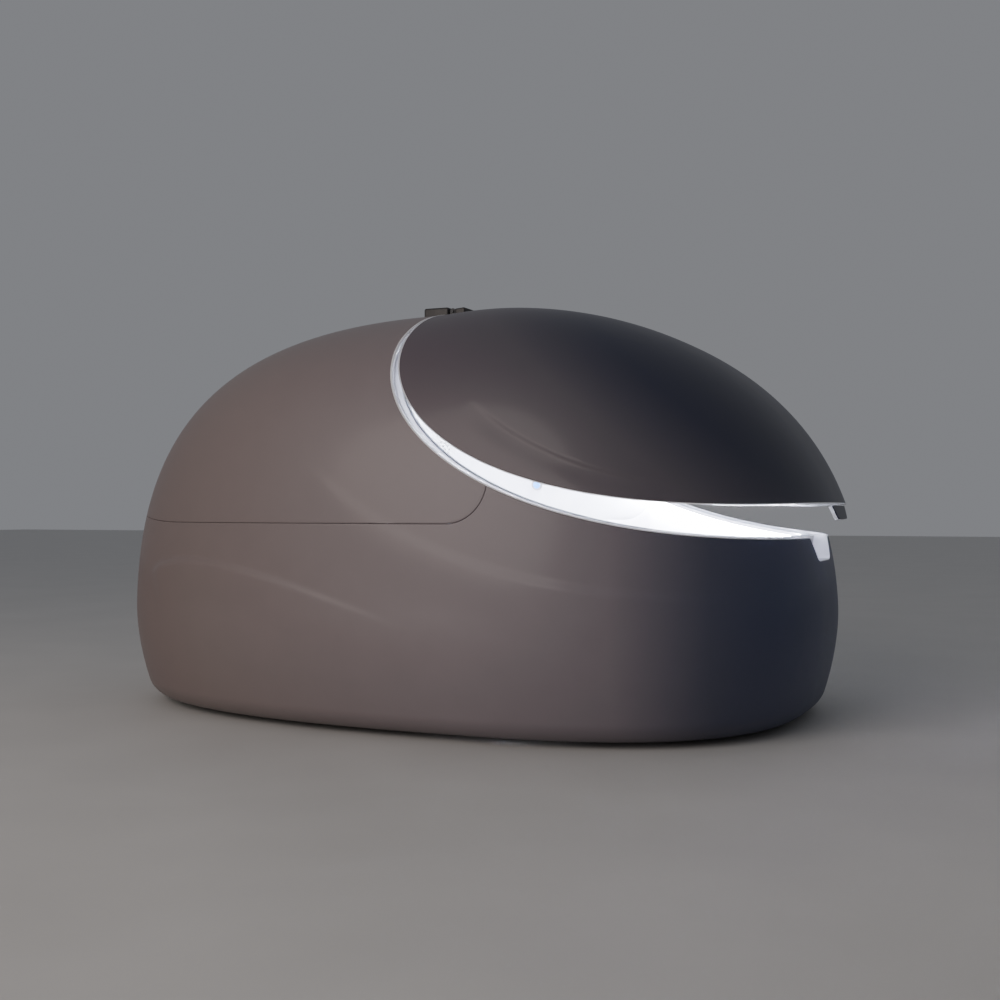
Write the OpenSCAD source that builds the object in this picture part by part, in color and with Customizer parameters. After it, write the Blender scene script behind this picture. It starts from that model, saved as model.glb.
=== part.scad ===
// Flotation tank: an egg-shaped pod with a hinged lid over a heated salt-water bath.
// Millimetres, +Z up, +X towards the nose, where the bather steps in. The origin is on the
// floor under the middle of the closed pod, at the foot of the centre leg.

/* [Overall] */
// Length of the closed pod from tail to nose
pod_len = 2450; // [2400:10:2560]
// Width of the pod at its girth
pod_w = 1700; // [1660:10:1780]
// Height of the shell from its lower edge to the crown
shell_h = 1290; // [1270:5:1330]
// Gap between the floor and the lower edge of the shell
floor_gap = 15; // [12:1:22]

/* [Shell form] */
// Height of the widest level above the shell's lower edge
girth_h = 240; // [220:5:260]
// Place of the widest section along the pod at the girth
girth_x = 280; // [240:5:300]
// Place of the crown along the pod
crown_x = 100; // [85:5:115]
// How late the widest section moves back towards the crown
crown_lean = 2.5; // [2:0.1:3]
// Squareness of the side outline
side_n = 2.4; // [2.3:0.05:2.5]
// Squareness of the cross section
end_n = 3.4; // [3.2:0.1:3.6]
// Squareness of the plan at the tail
tail_n = 2.4; // [2.3:0.05:2.5]
// Squareness of the plan at the nose
nose_n = 2.6; // [2.5:0.05:2.7]
// How far the shell draws in from the girth to its lower edge
tuck = 65; // [55:5:75]
// How late the shell draws in
tuck_n = 1.3; // [1.2:0.1:1.5]
// Radius with which the lower edge turns under
hem_r = 60; // [50:5:65]

/* [Mouth and seam] */
// Height of the tub's rim at the nose above the shell's lower edge
rim_front_h = 560; // [545:5:575]
// Drop from the crown to the height at which the rim stands upright
rim_turn_drop = 120; // [100:5:140]
// Rearmost place of the rim
rim_back_x = 42; // [36:2:46]
// Place at which the rim crosses the crown
rim_crown_x = 52; // [48:2:56]
// Distance of the centre of the rim's curve ahead of the nose
rim_lead = 25; // [20:1:31]
// Squareness of the rim's curve
rim_n = 2.1; // [2.05:0.05:2.15]
// Gap between the two rims when the lid is down
mouth_gap = 6; // [5.6:0.1:7]
// Height of the seam between the tail hood and the lower shell
seam_h = 610; // [600:5:620]
// How far the seam climbs at the tail
seam_climb = 42; // [30:2:50]
// Radius of the seam's corner where it turns up into the rim
seam_r = 120; // [110:5:130]
// Place where the seam starts to turn up
seam_turn_x = 300; // [290:5:310]
// Gap in the seam
seam_gap = 0.8; // [0.6:0.1:0.9]

/* [Walls] */
// Thickness of the outer glass-fibre skins
skin_t = 6; // [5:0.5:8]
// Depth of the inner skins behind the outer face
liner_depth = 60; // [54:1:66]
// Thickness of the inner skins
liner_t = 6; // [5:0.5:7]
// Height of the rim mouldings
rim_t = 8; // [7:0.5:10]
// Width of the rim mouldings across the wall
rim_w = 88; // [86:1:94]
// Bond line and close fitting clearance
bond = 0.2; // [0.15:0.05:0.3]

/* [Bath] */
// Height of the pool floor above the ground
pool_z = 165; // [160:1:180]
// Distance from the tail to the rear end of the flat pool floor
pool_tail_in = 545; // [525:10:565]
// Distance from the nose to the front end of the flat pool floor
pool_nose_in = 375; // [345:10:405]
// Distance from the girth to the side of the flat pool floor
pool_side_in = 350; // [330:10:370]

/* [Lid] */
// Angle by which the lid stands open as stored
lid_open = 4.9; // [4:0.1:6]
// Height of the hinge pin above the crown
pin_rise = 10; // [8:0.5:12]
// Radius of the hinge pin
pin_r = 5; // [4:0.5:6]
// Half the length of the hinge along the crown
hinge_half = 280; // [260:5:300]
// Height of the hinge cover above the crown
cover_rise = 23; // [21:1:26]
// Running clearance of pins in their bushes
run = 0.05; // [0.03:0.01:0.08]

/* [Pull] */
// Width of the finger recess at the rim
recess_top_w = 300; // [280:10:320]
// Width of the finger recess at its floor
recess_low_w = 200; // [180:10:220]
// Height of the finger recess
recess_h = 72; // [64:2:80]
// Depth of the finger recess
recess_d = 44; // [36:2:46]
// Height of the pull tab under the lid's nose
pull_h = 45; // [40:1:50]

/* [Gas struts] */
// Distance of each strut from the middle plane
strut_y = 350; // [340:5:360]
// Lower pivot along the pod
strut_foot_x = -140; // [-150:5:-130]
// Drop from the crown to the lower pivot
strut_foot_drop = 215; // [205:5:220]
// Upper pivot along the pod, lid closed
strut_head_x = 100; // [98:1:104]
// Drop from the crown to the upper pivot, lid closed
strut_head_drop = 145; // [142:1:147]
// Radius of the strut's cylinder
strut_r = 11; // [10:0.5:12]
// Length of the strut's cylinder
strut_len = 178; // [177:1:184]

/* [Running gear] */
// Thickness and width of the frame's box rails
rail_w = 40; // [36:1:50]
// Height of the frame's box rails
rail_h = 50; // [45:1:60]
// Radius of a levelling foot's pad
foot_r = 40; // [35:1:50]
// Radius of the pump's volute
volute_r = 60; // [55:1:62]
// Radius of the filter housing
filter_r = 54; // [50:1:56]
// Radius of the lamp and heater housings on the return line
line_r = 30; // [26:1:32]
// Bore radius of the drain outlet
drain_r = 20; // [16:1:24]
// Bore radius of the power cable gland
gland_r = 6; // [5:0.5:8]

/* [Hidden] */
$fn = 48;

near = -1;
far = 1;
girth_z = floor_gap + girth_h;
crown_z = floor_gap + shell_h;
rim_front_z = floor_gap + rim_front_h;
rim_turn_z = crown_z - rim_turn_drop;
seam_z = floor_gap + seam_h;
tail_len = pod_len/2 + girth_x;
nose_len = pod_len/2 - girth_x;
rim_centre_x = pod_len/2 + rim_lead;
pool_tail_x = pool_tail_in - pod_len/2;
pool_nose_x = pod_len/2 - pool_nose_in;
probe = 0.5;

// ---- form of the egg ----
function rise(z) = max(0, min(1, (z - girth_z)/(crown_z - girth_z)));
function sink(z) = max(0, min(1, (girth_z - z)/girth_h));
function bow(u, n) = pow(max(0, 1 - pow(u, n)), 1/n);
function hem(z) = z > floor_gap + hem_r ? 0
    : hem_r - sqrt(max(0, hem_r*hem_r - pow(floor_gap + hem_r - z, 2)));
function drawn_in(z) = tuck*pow(sink(z), tuck_n) + hem(z);
function mid_x(z) = girth_x + (crown_x - girth_x)*pow(rise(z), crown_lean);
function tail_reach(z) = max(0.01, tail_len*bow(rise(z), side_n) - drawn_in(z));
function nose_reach(z) = max(0.01, nose_len*bow(rise(z), side_n) - drawn_in(z));
function half_w(z) = max(0.01, pod_w/2*bow(rise(z), end_n) - drawn_in(z));
function share(x, z) = let(d = x - mid_x(z)) d/(d > 0 ? nose_reach(z) : tail_reach(z));
function plan_n(q) = q > 0 ? nose_n : tail_n;
function skin_y(x, z) = let(q = share(x, z)) half_w(z)*bow(min(1, abs(q)), plan_n(q));
function level(p) = let(q = share(p.x, p.z), n = plan_n(q))
    pow(abs(q), n) + pow(abs(p.y)/half_w(p.z), n);
function unit(v) = v/norm(v);
// Outward normal of the egg at a point of its skin
function egg_normal(p) = p.z > crown_z - probe ? [0, 0, 1] : unit([
    level(p + [probe, 0, 0]) - level(p - [probe, 0, 0]),
    level(p + [0, probe, 0]) - level(p - [0, probe, 0]),
    level(p + [0, 0, probe]) - level(p - [0, 0, probe])]);
function skin_pt(x, z, side) = [x, side*skin_y(x, z), z];

// ---- middle-plane outline: angle 0 at the nose's girth, 90 at the crown, 180 at the tail ----
function outline(a) = let(z = girth_z + (crown_z - girth_z)*pow(sin(a), 2/side_n))
    [mid_x(z) + (a < 90 ? nose_len : -tail_len)*pow(abs(cos(a)), 2/side_n), z];
function outline_angle(z) = asin(pow(rise(z), side_n/2));
function crown_angle(x) = let(d = x - crown_x)
    acos(sign(d)*pow(abs(d)/(d > 0 ? nose_len : tail_len), side_n/2));

// ---- rim curve in the side view, moved towards the lid by off ----
upright = 0.9;
function rim_a(off) = rim_centre_x - rim_back_x - off;
function rim_b(off) = rim_turn_z - rim_front_z - off;
function rim_phi(x, off) = asin(pow((rim_centre_x - x)/rim_a(off), rim_n/2));
function rim_tip_x(off) = outline(outline_angle(rim_front_z + off)).x;
function rim_pt(s, off) = s <= upright
    ? let(p0 = rim_phi(rim_tip_x(off), off), p = p0 + (90 - p0)*s/upright)
        [rim_centre_x - rim_a(off)*pow(sin(p), 2/rim_n), rim_turn_z - rim_b(off)*pow(cos(p), 2/rim_n)]
    : let(t = (s - upright)/(1 - upright))
        [rim_back_x + off + t*(rim_crown_x - rim_back_x), rim_turn_z + t*(crown_z - rim_turn_z)];
// Share of the way along the rim at which it passes x
function rim_share(x, off) = let(p0 = rim_phi(rim_tip_x(off), off)) upright*(rim_phi(x, off) - p0)/(90 - p0);

rim_low = -mouth_gap/2;
rim_under = rim_low - rim_t;
lap = 1;
skin_off = rim_under - lap;
lid_off = -skin_off;

// ---- seam curve in the side view: tail, straight run, corner, rim ----
seam_corner = [seam_turn_x, seam_z + seam_r];
function meets(lo, hi, r, k) = let(m = (lo + hi)/2)
    k == 0 ? m
    : norm(rim_pt(rim_share(m, skin_off), skin_off) - seam_corner) > r ? meets(lo, m, r, k - 1)
    : meets(m, hi, r, k - 1);
function seam_end_x(r) = meets(seam_turn_x, seam_turn_x + r, r, 16);
seam_flat = 1020;
seam_foot_x = seam_turn_x - seam_flat;
function seam_tail_x(lift) = outline(180 - outline_angle(seam_z + seam_climb + lift)).x;
function seam_height(x) = seam_z
    + seam_climb*pow(max(0, min(1, (seam_foot_x - x)/(seam_foot_x - seam_tail_x(0)))), 2);

tail_steps = 14;
turn_steps = 3;
low_steps = 16;
high_steps = 12;
rows_lid = 9;
rows_liner = 6;
rows_shell = 7;
rows_tub = 7;

function ease(u) = (1 - cos(180*u))/2;
// Seam from the tail to the rim, raised by lift
function seam_pts(lift) = let(r = seam_r - lift, xe = seam_end_x(r), c = seam_corner,
        e = rim_pt(rim_share(xe, skin_off), skin_off), turn = acos((c.y - e.y)/r))
    concat(
        [for (i = [0:tail_steps - 1]) let(x = seam_tail_x(lift)
            + (seam_turn_x - seam_tail_x(lift))*(1 - cos(90*i/tail_steps)))
            [x, seam_height(x) + lift]],
        [for (i = [0:turn_steps - 1]) let(a = turn*i/turn_steps) c + r*[sin(a), -cos(a)]]);
function end_share(lift) = rim_share(seam_end_x(seam_r - lift), skin_off);
meet_share = end_share(0);
// Shares of the rim from the nose to the seam, and from the seam to the crown
low_shares = [for (i = [0:low_steps]) meet_share*(1 - cos(90*i/low_steps))];
high_shares = [for (i = [0:high_steps]) meet_share + (1 - meet_share)*sin(90*i/high_steps)];
rim_shares = concat(low_shares, [for (i = [1:high_steps]) high_shares[i]]);

// ---- sheets: a face of points with normals, made a closed wall between two depths ----
module sheet(pts, nrm, tri, loops, d0, d1) {
    n = len(pts);
    polyhedron(
        points = concat([for (i = [0:n - 1]) pts[i] - d0*nrm[i]],
            [for (i = [0:n - 1]) pts[i] - d1*nrm[i]]),
        faces = concat(tri, [for (t = tri) [t[2] + n, t[1] + n, t[0] + n]],
            [for (l = loops, i = [0:len(l) - 1]) let(a = l[i], b = l[(i + 1)%len(l)])
                each [[b, a, a + n], [b, a + n, b + n]]]));
}

// Cap: rows run from pole to pole, each from the first side's edge over the middle plane to the
// other edge. ks are the edge's points, cs the crown's, and es the places of the edge's normals
function cap_row(k, c, m, first) = [for (j = [0:2*m])
    let(w = sin(90*min(j, 2*m - j)/m), e = k + (c - k)*w)
    skin_pt(e.x, e.y, j == m ? 0 : j < m ? first : -first)];
function cap_rows(ks, cs, m, first) = let(n = len(ks) - 1) concat(
    [skin_pt(ks[0].x, ks[0].y, 0)],
    [for (i = [1:n - 1]) each cap_row(ks[i], cs[i], m, first)],
    [skin_pt(ks[n].x, ks[n].y, 0)]);
function cap_normals(pts, es, m, first) = let(n = len(es) - 1) concat(
    [egg_normal(skin_pt(es[0].x, es[0].y, 0))],
    [for (i = [1:n - 1], j = [0:2*m]) egg_normal(j == 0 ? skin_pt(es[i].x, es[i].y, first)
        : j == 2*m ? skin_pt(es[i].x, es[i].y, -first) : pts[cap_at(i, j, m)])],
    [egg_normal(skin_pt(es[n].x, es[n].y, 0))]);
function cap_at(i, j, m) = 1 + (i - 1)*(2*m + 1) + j;
function cap_tri(n, m) = concat(
    [for (j = [0:2*m - 1]) [0, cap_at(1, j, m), cap_at(1, j + 1, m)]],
    [for (i = [1:n - 2], j = [0:2*m - 1]) each [
        [cap_at(i, j, m), cap_at(i + 1, j, m), cap_at(i + 1, j + 1, m)],
        [cap_at(i, j, m), cap_at(i + 1, j + 1, m), cap_at(i, j + 1, m)]]],
    [for (j = [0:2*m - 1]) [cap_at(n - 1, j, m), cap_at(n, 0, m), cap_at(n - 1, j + 1, m)]]);
function cap_loop(n, m) = concat([0], [for (i = [1:n - 1]) cap_at(i, 0, m)], [cap_at(n, 0, m)],
    [for (i = [n - 1:-1:1]) cap_at(i, 2*m, m)]);
module cap(ks, cs, es, m, first, d0, d1) {
    n = len(ks) - 1;
    pts = cap_rows(ks, cs, m, first);
    sheet(pts, cap_normals(pts, es, m, first), cap_tri(n, m), [cap_loop(n, m)], d0, d1);
}

// Lower edges and crown lines of the lid and of the tail hood
lid_edge = [for (s = rim_shares) rim_pt(s, lid_off)];
lid_edge_at = [for (s = rim_shares) rim_pt(s, 0)];
lid_n = len(lid_edge) - 1;
lid_nose_a = outline_angle(rim_front_z + lid_off);
lid_crown_a = crown_angle(rim_crown_x + lid_off);
lid_crown = [for (i = [0:lid_n]) outline(lid_nose_a + (lid_crown_a - lid_nose_a)*ease(i/lid_n))];
hood_edge = concat(seam_pts(seam_gap/2),
    [let(s = end_share(seam_gap/2)) rim_pt(s, skin_off)],
    [for (i = [1:high_steps]) rim_pt(high_shares[i], skin_off)]);
hood_edge_at = concat(seam_pts(seam_gap/2), [rim_pt(end_share(seam_gap/2), 0)],
    [for (i = [1:high_steps]) rim_pt(high_shares[i], 0)]);
hood_n = len(hood_edge) - 1;
hood_tail_a = 180 - outline_angle(seam_z + seam_climb + seam_gap/2);
hood_crown_a = crown_angle(rim_crown_x + skin_off);
hood_crown = [for (i = [0:hood_n]) outline(hood_tail_a + (hood_crown_a - hood_tail_a)*ease(i/hood_n))];

// Ring: columns run round the pod, tail to nose on the near side and back on the far side
low_edge = concat(seam_pts(-seam_gap/2),
    [let(s = end_share(-seam_gap/2)) rim_pt(s, skin_off)],
    [for (i = [low_steps - 1:-1:0]) rim_pt(low_shares[i], skin_off)]);
low_edge_at = concat(seam_pts(-seam_gap/2), [rim_pt(end_share(-seam_gap/2), 0)],
    [for (i = [low_steps - 1:-1:0]) rim_pt(low_shares[i], 0)]);
low_n = len(low_edge) - 1;
ring_cols = concat(
    [for (k = [0:low_n]) [low_edge[k], k == 0 || k == low_n ? 0 : near, low_edge_at[k]]],
    [for (k = [low_n - 1:-1:1]) [low_edge[k], far, low_edge_at[k]]]);
function end_q(c) = c[1] == 0 ? sign(c[0].x) : share(c[0].x, c[0].y);
hem_z = floor_gap + hem_r;
function wall_z(top, r) = r <= rows_shell - 3 ? top + (hem_z - top)*r/(rows_shell - 3)
    : floor_gap + hem_r*(1 - sin(30*(r - rows_shell + 3)));
function wall_pt(q, side, z) =
    [mid_x(z) + q*(q > 0 ? nose_reach(z) : tail_reach(z)), side*half_w(z)*bow(abs(q), plan_n(q)), z];
function ring_at(k, r, rows) = k*(rows + 1) + r;
function ring_tri(n, rows) = [for (k = [0:n - 1], r = [0:rows - 1]) let(k2 = (k + 1)%n) each [
    [ring_at(k, r, rows), ring_at(k2, r + 1, rows), ring_at(k, r + 1, rows)],
    [ring_at(k, r, rows), ring_at(k2, r, rows), ring_at(k2, r + 1, rows)]]];

// Hoop: a band along the whole rim, between two offsets and two depths
function hoop_pts(off, depth) = let(n = len(rim_shares) - 1,
    stations = concat([for (i = [0:n]) [rim_shares[i], i == 0 || i == n ? 0 : near]],
        [for (i = [n - 1:-1:1]) [rim_shares[i], far]]))
    [for (s = stations) let(e = rim_pt(s[0], off), m = rim_pt(s[0], 0))
        skin_pt(e.x, e.y, s[1]) - depth*egg_normal(skin_pt(m.x, m.y, s[1]))];
module hoop(off0, off1, d0, d1) {
    n = 2*(len(rim_shares) - 1);
    polyhedron(
        points = concat(hoop_pts(off0, d0), hoop_pts(off1, d0), hoop_pts(off1, d1), hoop_pts(off0, d1)),
        faces = [for (i = [0:n - 1], c = [0:3]) let(j = (i + 1)%n, c2 = (c + 1)%4)
            each [[c*n + i, c*n + j, c2*n + j], [c*n + i, c2*n + j, c2*n + i]]]);
}

// ---- pool form: walls run down from the brim and round into the flat floor ----
wet_depth = liner_depth + liner_t;
function floor_pt(q, side) = [q*(q > 0 ? pool_nose_x - girth_x : girth_x - pool_tail_x) + girth_x,
    side*(pod_w/2 - pool_side_in)*bow(min(1, abs(q)), plan_n(q)), pool_z];
function brim(x, off) = x < seam_end_x(seam_r) ? [x, seam_height(x)]
    : rim_pt(rim_share(x, skin_off), off);
function pool_pt(top, at, q, side, t) = let(b = floor_pt(q, side), w = 1 - cos(90*t),
        a = skin_pt(top.x, top.y, side) - wet_depth*egg_normal(skin_pt(at.x, at.y, side)))
    [a.x + (b.x - a.x)*w, a.y + (b.y - a.y)*w, a.z + (b.z - a.z)*sin(90*t)];
function side_pt(x, side, t) = let(e = brim(x, skin_off)) pool_pt(e, brim(x, 0), share(x, e.y), side, t);
function end_pt(end, t) = let(k = end < 0 ? 0 : low_n) pool_pt(low_edge[k], low_edge_at[k], end, 0, t);
function pool_col(c) = [for (r = [0:rows_tub]) pool_pt(c[0], c[2], end_q(c), c[1], r/rows_tub)];

// ---- placing on walls: local +Z points into the cabin ----
module stand_on(p, n) {
    z = -n;
    x = unit(cross(abs(z.z) > 0.9 ? [0, 1, 0] : [0, 0, 1], z));
    y = cross(z, x);
    multmatrix([[x.x, y.x, z.x, p.x], [x.y, y.y, z.y, p.y], [x.z, y.z, z.z, p.z]]) children();
}
module on_liner(x, z, side) {
    p = skin_pt(x, z, side);
    n = egg_normal(p);
    stand_on(p - wet_depth*n, n) children();
}
module on_side_wall(x, side, t) {
    step = 1;
    fine = 0.01;
    p = side_pt(x, side, t);
    n = unit(cross(side_pt(x + step, side, t) - p, side_pt(x, side, t + fine) - p))*-side;
    stand_on(p, n) children();
}
function end_n(end, t) = let(d = end_pt(end, t + 0.01) - end_pt(end, t)) unit([-d.z*end, 0, d.x*end]);
module on_end_wall(end, t) stand_on(end_pt(end, t), end_n(end, t)) children();

// ---- round pieces ----
module hole(r, depth = 30) translate([0, 0, -depth]) cylinder(r = r, h = 2*depth);
module along_x(r, x0, x1) translate([x0, 0, 0]) rotate([0, 90, 0]) cylinder(r = r, h = x1 - x0);
module along_y(r, y0, y1) translate([0, y0, 0]) rotate([-90, 0, 0]) cylinder(r = r, h = y1 - y0);
module across(r, h) rotate([90, 0, 0]) cylinder(r = r, h = h, center = true);
module tube(r, bore, z0, z1) {
    difference() {
        translate([0, 0, z0]) cylinder(r = r, h = z1 - z0);
        translate([0, 0, z0 - 1]) cylinder(r = bore, h = z1 - z0 + 2);
    }
}
// Pipe with square elbows, and its bore
module run_of_pipe(pts, r) {
    for (i = [0:len(pts) - 2]) let(d = pts[i + 1] - pts[i], l = norm(d))
        translate(pts[i]) rotate([0, acos(d.z/l), atan2(d.y, d.x)]) cylinder(r = r, h = l);
    if (len(pts) > 2) for (i = [1:len(pts) - 2]) translate(pts[i]) sphere(r = r);
}
module pipe(pts, r, wall) {
    n = len(pts) - 1;
    a = unit(pts[0] - pts[1]);
    z = unit(pts[n] - pts[n - 1]);
    difference() {
        run_of_pipe(pts, r);
        run_of_pipe([for (i = [0:n]) pts[i] + (i == 0 ? a : i == n ? z : [0, 0, 0])], r - wall);
    }
}
// Hose: a tube swept along a route whose corners are rounded from middle to middle
hose_sides = 12;
bend_steps = 4;
function bend(a, b, c, t) = (1 - t)*(1 - t)*a + 2*t*(1 - t)*b + t*t*c;
function rounded(p) = let(n = len(p) - 1) concat([p[0]],
    [for (i = [1:n - 1]) let(a = i == 1 ? (2*p[0] + p[1])/3 : (p[i - 1] + p[i])/2,
        c = i == n - 1 ? (p[n - 1] + 2*p[n])/3 : (p[i] + p[i + 1])/2)
        each [for (k = [0:bend_steps]) if (k > 0 || i == 1) bend(a, p[i], c, k/bend_steps)]], [p[n]]);
function carried(t, u) = unit(u - (u*t)*t);
function sides_of(ts, u, i = 0, out = []) = i == len(ts) ? out
    : let(v = carried(ts[i], u)) sides_of(ts, v, i + 1, concat(out, [v]));
module hose(route, r, wall) {
    p = rounded(route);
    n = len(p);
    ts = [for (i = [0:n - 1]) unit(p[min(i + 1, n - 1)] - p[max(i - 1, 0)])];
    us = sides_of(ts, [0.1, 0.2, 1]);
    function ring(i, radius) = [for (k = [0:hose_sides - 1]) let(a = 360*k/hose_sides)
        p[i] + radius*(cos(a)*us[i] + sin(a)*cross(ts[i], us[i]))];
    rings = concat([for (i = [0:n - 1]) ring(i, r)], [for (i = [n - 1:-1:0]) ring(i, r - wall)]);
    function at(i, k) = (i%(2*n))*hose_sides + k%hose_sides;
    polyhedron(points = [for (q = rings) each q],
        faces = [for (i = [0:2*n - 1], k = [0:hose_sides - 1]) each [
            [at(i, k), at(i + 1, k + 1), at(i, k + 1)],
            [at(i, k), at(i + 1, k), at(i + 1, k + 1)]]]);
}

// ---- outer shells ----
module recess_prism(grow, x0, x1, up) {
    top = rim_front_z + rim_low;
    slope = (recess_top_w - recess_low_w)/2/recess_h;
    low = top - recess_h - grow;
    function half(z) = recess_top_w/2 + grow + slope*(z - top);
    translate([x0, 0, 0]) rotate([90, 0, 90]) linear_extrude(x1 - x0)
        polygon([[half(top + up), top + up], [-half(top + up), top + up],
            [-half(low), low], [half(low), low]]);
}
tip_x = rim_tip_x(rim_low);
grip_wall = 4;
grip_lip = 3;
module recess_cut() recess_prism(grip_wall + bond, tip_x - recess_d - grip_wall - bond, tip_x + hem_r,
    2*rim_t);

pocket_d = 16;
pocket_z = crown_z - pocket_d;
block_tail = 100;
block_nose = 48;
module crown_pockets() translate([rim_crown_x - block_tail - bond, -hinge_half - bond, pocket_z - bond])
    cube([block_tail + block_nose + 2*bond, 2*(hinge_half + bond), 2*pocket_d + cover_rise]);
hinge_bolt_r = 4;
bolt_pitch = 130;
bolt_drop = 25;
bolt_z = pocket_z - bolt_drop;
bolt_rows = [-1.5, -0.5, 0.5, 1.5];
module hinge_bolt_holes(r) for (k = bolt_rows) translate([rim_crown_x, k*bolt_pitch, bolt_z])
    rotate([0, 90, 0]) cylinder(r = r, h = 2*block_tail, center = true, $fn = 24);

module lower_shell() color("gainsboro") difference() {
    n = len(ring_cols);
    pts = [for (c = ring_cols) each [for (r = [0:rows_shell]) r == 0 ? skin_pt(c[0].x, c[0].y, c[1])
        : wall_pt(end_q(c), c[1], wall_z(c[0].y, r))]];
    sheet(pts, [for (p = pts) egg_normal(p)], ring_tri(n, rows_shell),
        [[for (k = [0:n - 1]) ring_at(k, 0, rows_shell)],
         [for (k = [n - 1:-1:0]) ring_at(k, rows_shell, rows_shell)]], 0, skin_t);
    recess_cut();
}
module tail_hood() color("gainsboro") difference() {
    cap(hood_edge, hood_crown, hood_edge_at, rows_lid, far, 0, skin_t);
    crown_pockets();
}
module rim_flange() color("whitesmoke") difference() {
    hoop(rim_under, rim_low, 0, rim_w);
    recess_cut();
    crown_pockets();
    hinge_bolt_holes(hinge_bolt_r + bond);
}
module nose_grip() color("white") difference() {
    recess_prism(grip_wall, tip_x - recess_d - grip_wall, tip_x - grip_lip, 0);
    recess_prism(0, tip_x - recess_d, tip_x + rim_w, 1);
    hoop(rim_low, rim_low + recess_d, -recess_d, rim_w + recess_d);
}
seal_in = 62;
seal_w = 12;
module rim_seal() color("slategray")
    hoop(rim_low + lap, mouth_gap/2 - 2*lap, seal_in, seal_in + seal_w);
glow_back = 8;
glow_in = wet_depth + glow_back;
glow_w = 14;
glow_t = 6;
module halo_light() color("azure")
    hoop(rim_under - lap - glow_t, rim_under - lap, glow_in, glow_in + glow_w);

// ---- inner skins ----
fan_drop = 290;
fan_z = crown_z - fan_drop;
fan_r = 56;
speaker_x = -450;
speaker_rise = 310;
speaker_z = seam_z + speaker_rise;
speaker_r = 56;
switch_x = -60;
switch_rise = 150;
switch_z = seam_z + switch_rise;
switch_r = 22;
button_r = 14;
plate_t = 5;
plate_half = 24;
plate_gap = 13;
plate_drop = 58;
plate_top = crown_z - plate_drop;
slot_drop = 165;
strut_foot = [strut_foot_x, crown_z - strut_foot_drop];
strut_head = [strut_head_x, crown_z - strut_head_drop];
module hanger_slot(x) for (s = [near, far]) {
    mid = s*(strut_y + plate_gap + plate_t/2);
    translate([x - plate_half - bond, mid - plate_t/2 - bond, crown_z - slot_drop])
        cube([2*(plate_half + bond), plate_t + 2*bond, slot_drop]);
}
module on_tail_liner() {
    p = outline(180 - outline_angle(fan_z));
    n = egg_normal([p.x, 0, p.y]);
    stand_on([p.x, 0, p.y] - wet_depth*n, n) children();
}
module hood_liner() color("white") difference() {
    cap(hood_edge, hood_crown, hood_edge_at, rows_liner, far, liner_depth, wet_depth);
    on_tail_liner() hole(fan_r + bond);
    for (s = [near, far]) {
        on_liner(speaker_x, speaker_z, s) hole(speaker_r + bond);
        on_liner(switch_x, switch_z, s) hole(switch_r + bond);
    }
    hanger_slot(strut_foot_x);
}

jet_share = 0.62;
jet_r = 30;
suction_share = 0.62;
suction_r = 46;
lamp_x = 420;
lamp_share = 0.42;
lamp_r = 46;
drain_x = -450;
drain_neck_r = 28;
module bath_tub() color("white") difference() {
    n = len(ring_cols);
    cols = [for (c = ring_cols) pool_col(c)];
    pts = concat([for (c = cols) each c], [floor_pt(0, 0)]);
    nrm = concat([for (k = [0:n - 1], r = [0:rows_tub])
        let(a = cols[(k + n - 1)%n], b = cols[k], c = cols[(k + 1)%n])
        r == 0 ? egg_normal(skin_pt(ring_cols[k][2].x, ring_cols[k][2].y, ring_cols[k][1]))
        : r == rows_tub ? [0, 0, -1] : unit(cross(b[r + 1] - b[r - 1], c[r] - a[r]))], [[0, 0, -1]]);
    middle = [for (k = [0:n - 1])
        [ring_at(k, rows_tub, rows_tub), ring_at((k + 1)%n, rows_tub, rows_tub), len(pts) - 1]];
    sheet(pts, nrm, concat(ring_tri(n, rows_tub), middle),
        [[for (k = [0:n - 1]) ring_at(k, 0, rows_tub)]], -liner_t, 0);
    on_end_wall(1, jet_share) hole(jet_r + bond);
    on_end_wall(-1, suction_share) hole(suction_r + bond);
    for (s = [near, far]) on_side_wall(lamp_x, s, lamp_share) hole(lamp_r + bond);
    translate([drain_x, 0, pool_z]) hole(drain_neck_r + bond);
}

// ---- lid, drawn shut and swung open about the hinge pin ----
pin = [rim_crown_x, crown_z + pin_rise];
module lid_pose() translate([pin.x, 0, pin.y]) rotate([0, -lid_open, 0])
    translate([-pin.x, 0, -pin.y]) children();
module lid_shell() color("lightsteelblue") lid_pose() difference() {
    cap(lid_edge, lid_crown, lid_edge_at, rows_lid, near, 0, skin_t);
    crown_pockets();
}
bar_in = 465;
bar_x = pod_len/2 - bar_in;
bar_half = 90;
bar_r = 11;
bar_drop = 55;
bar_back = 8;
// Angle at which the outline passes x on the lid's side, found by halving
function lid_angle(x, lo = 0, hi = 90, k = 16) = let(m = (lo + hi)/2)
    k == 0 ? m : outline(m).x > x ? lid_angle(x, m, hi, k - 1) : lid_angle(x, lo, m, k - 1);
module on_lid_liner(x) {
    e = outline(lid_angle(x));
    n = egg_normal([e.x, 0, e.y]);
    stand_on([e.x, 0, e.y] - wet_depth*n, n) children();
}
module lid_liner() color("white") lid_pose() difference() {
    cap(lid_edge, lid_crown, lid_edge_at, rows_liner, near, liner_depth, wet_depth);
    hanger_slot(strut_head_x);
    on_lid_liner(bar_x) for (s = [near, far]) translate([s*bar_half, 0, 0]) hole(bar_r + bond);
}
module lid_flange() color("whitesmoke") lid_pose() difference() {
    hoop(-rim_low, -rim_under, 0, rim_w);
    crown_pockets();
    hinge_bolt_holes(hinge_bolt_r + bond);
}
pull_t = 14;
pull_steps = 8;
pull_rows = 3;
pull_top_in = 40;
pull_low_in = 15;
pull_half_top = recess_top_w/2 - pull_top_in;
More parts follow.
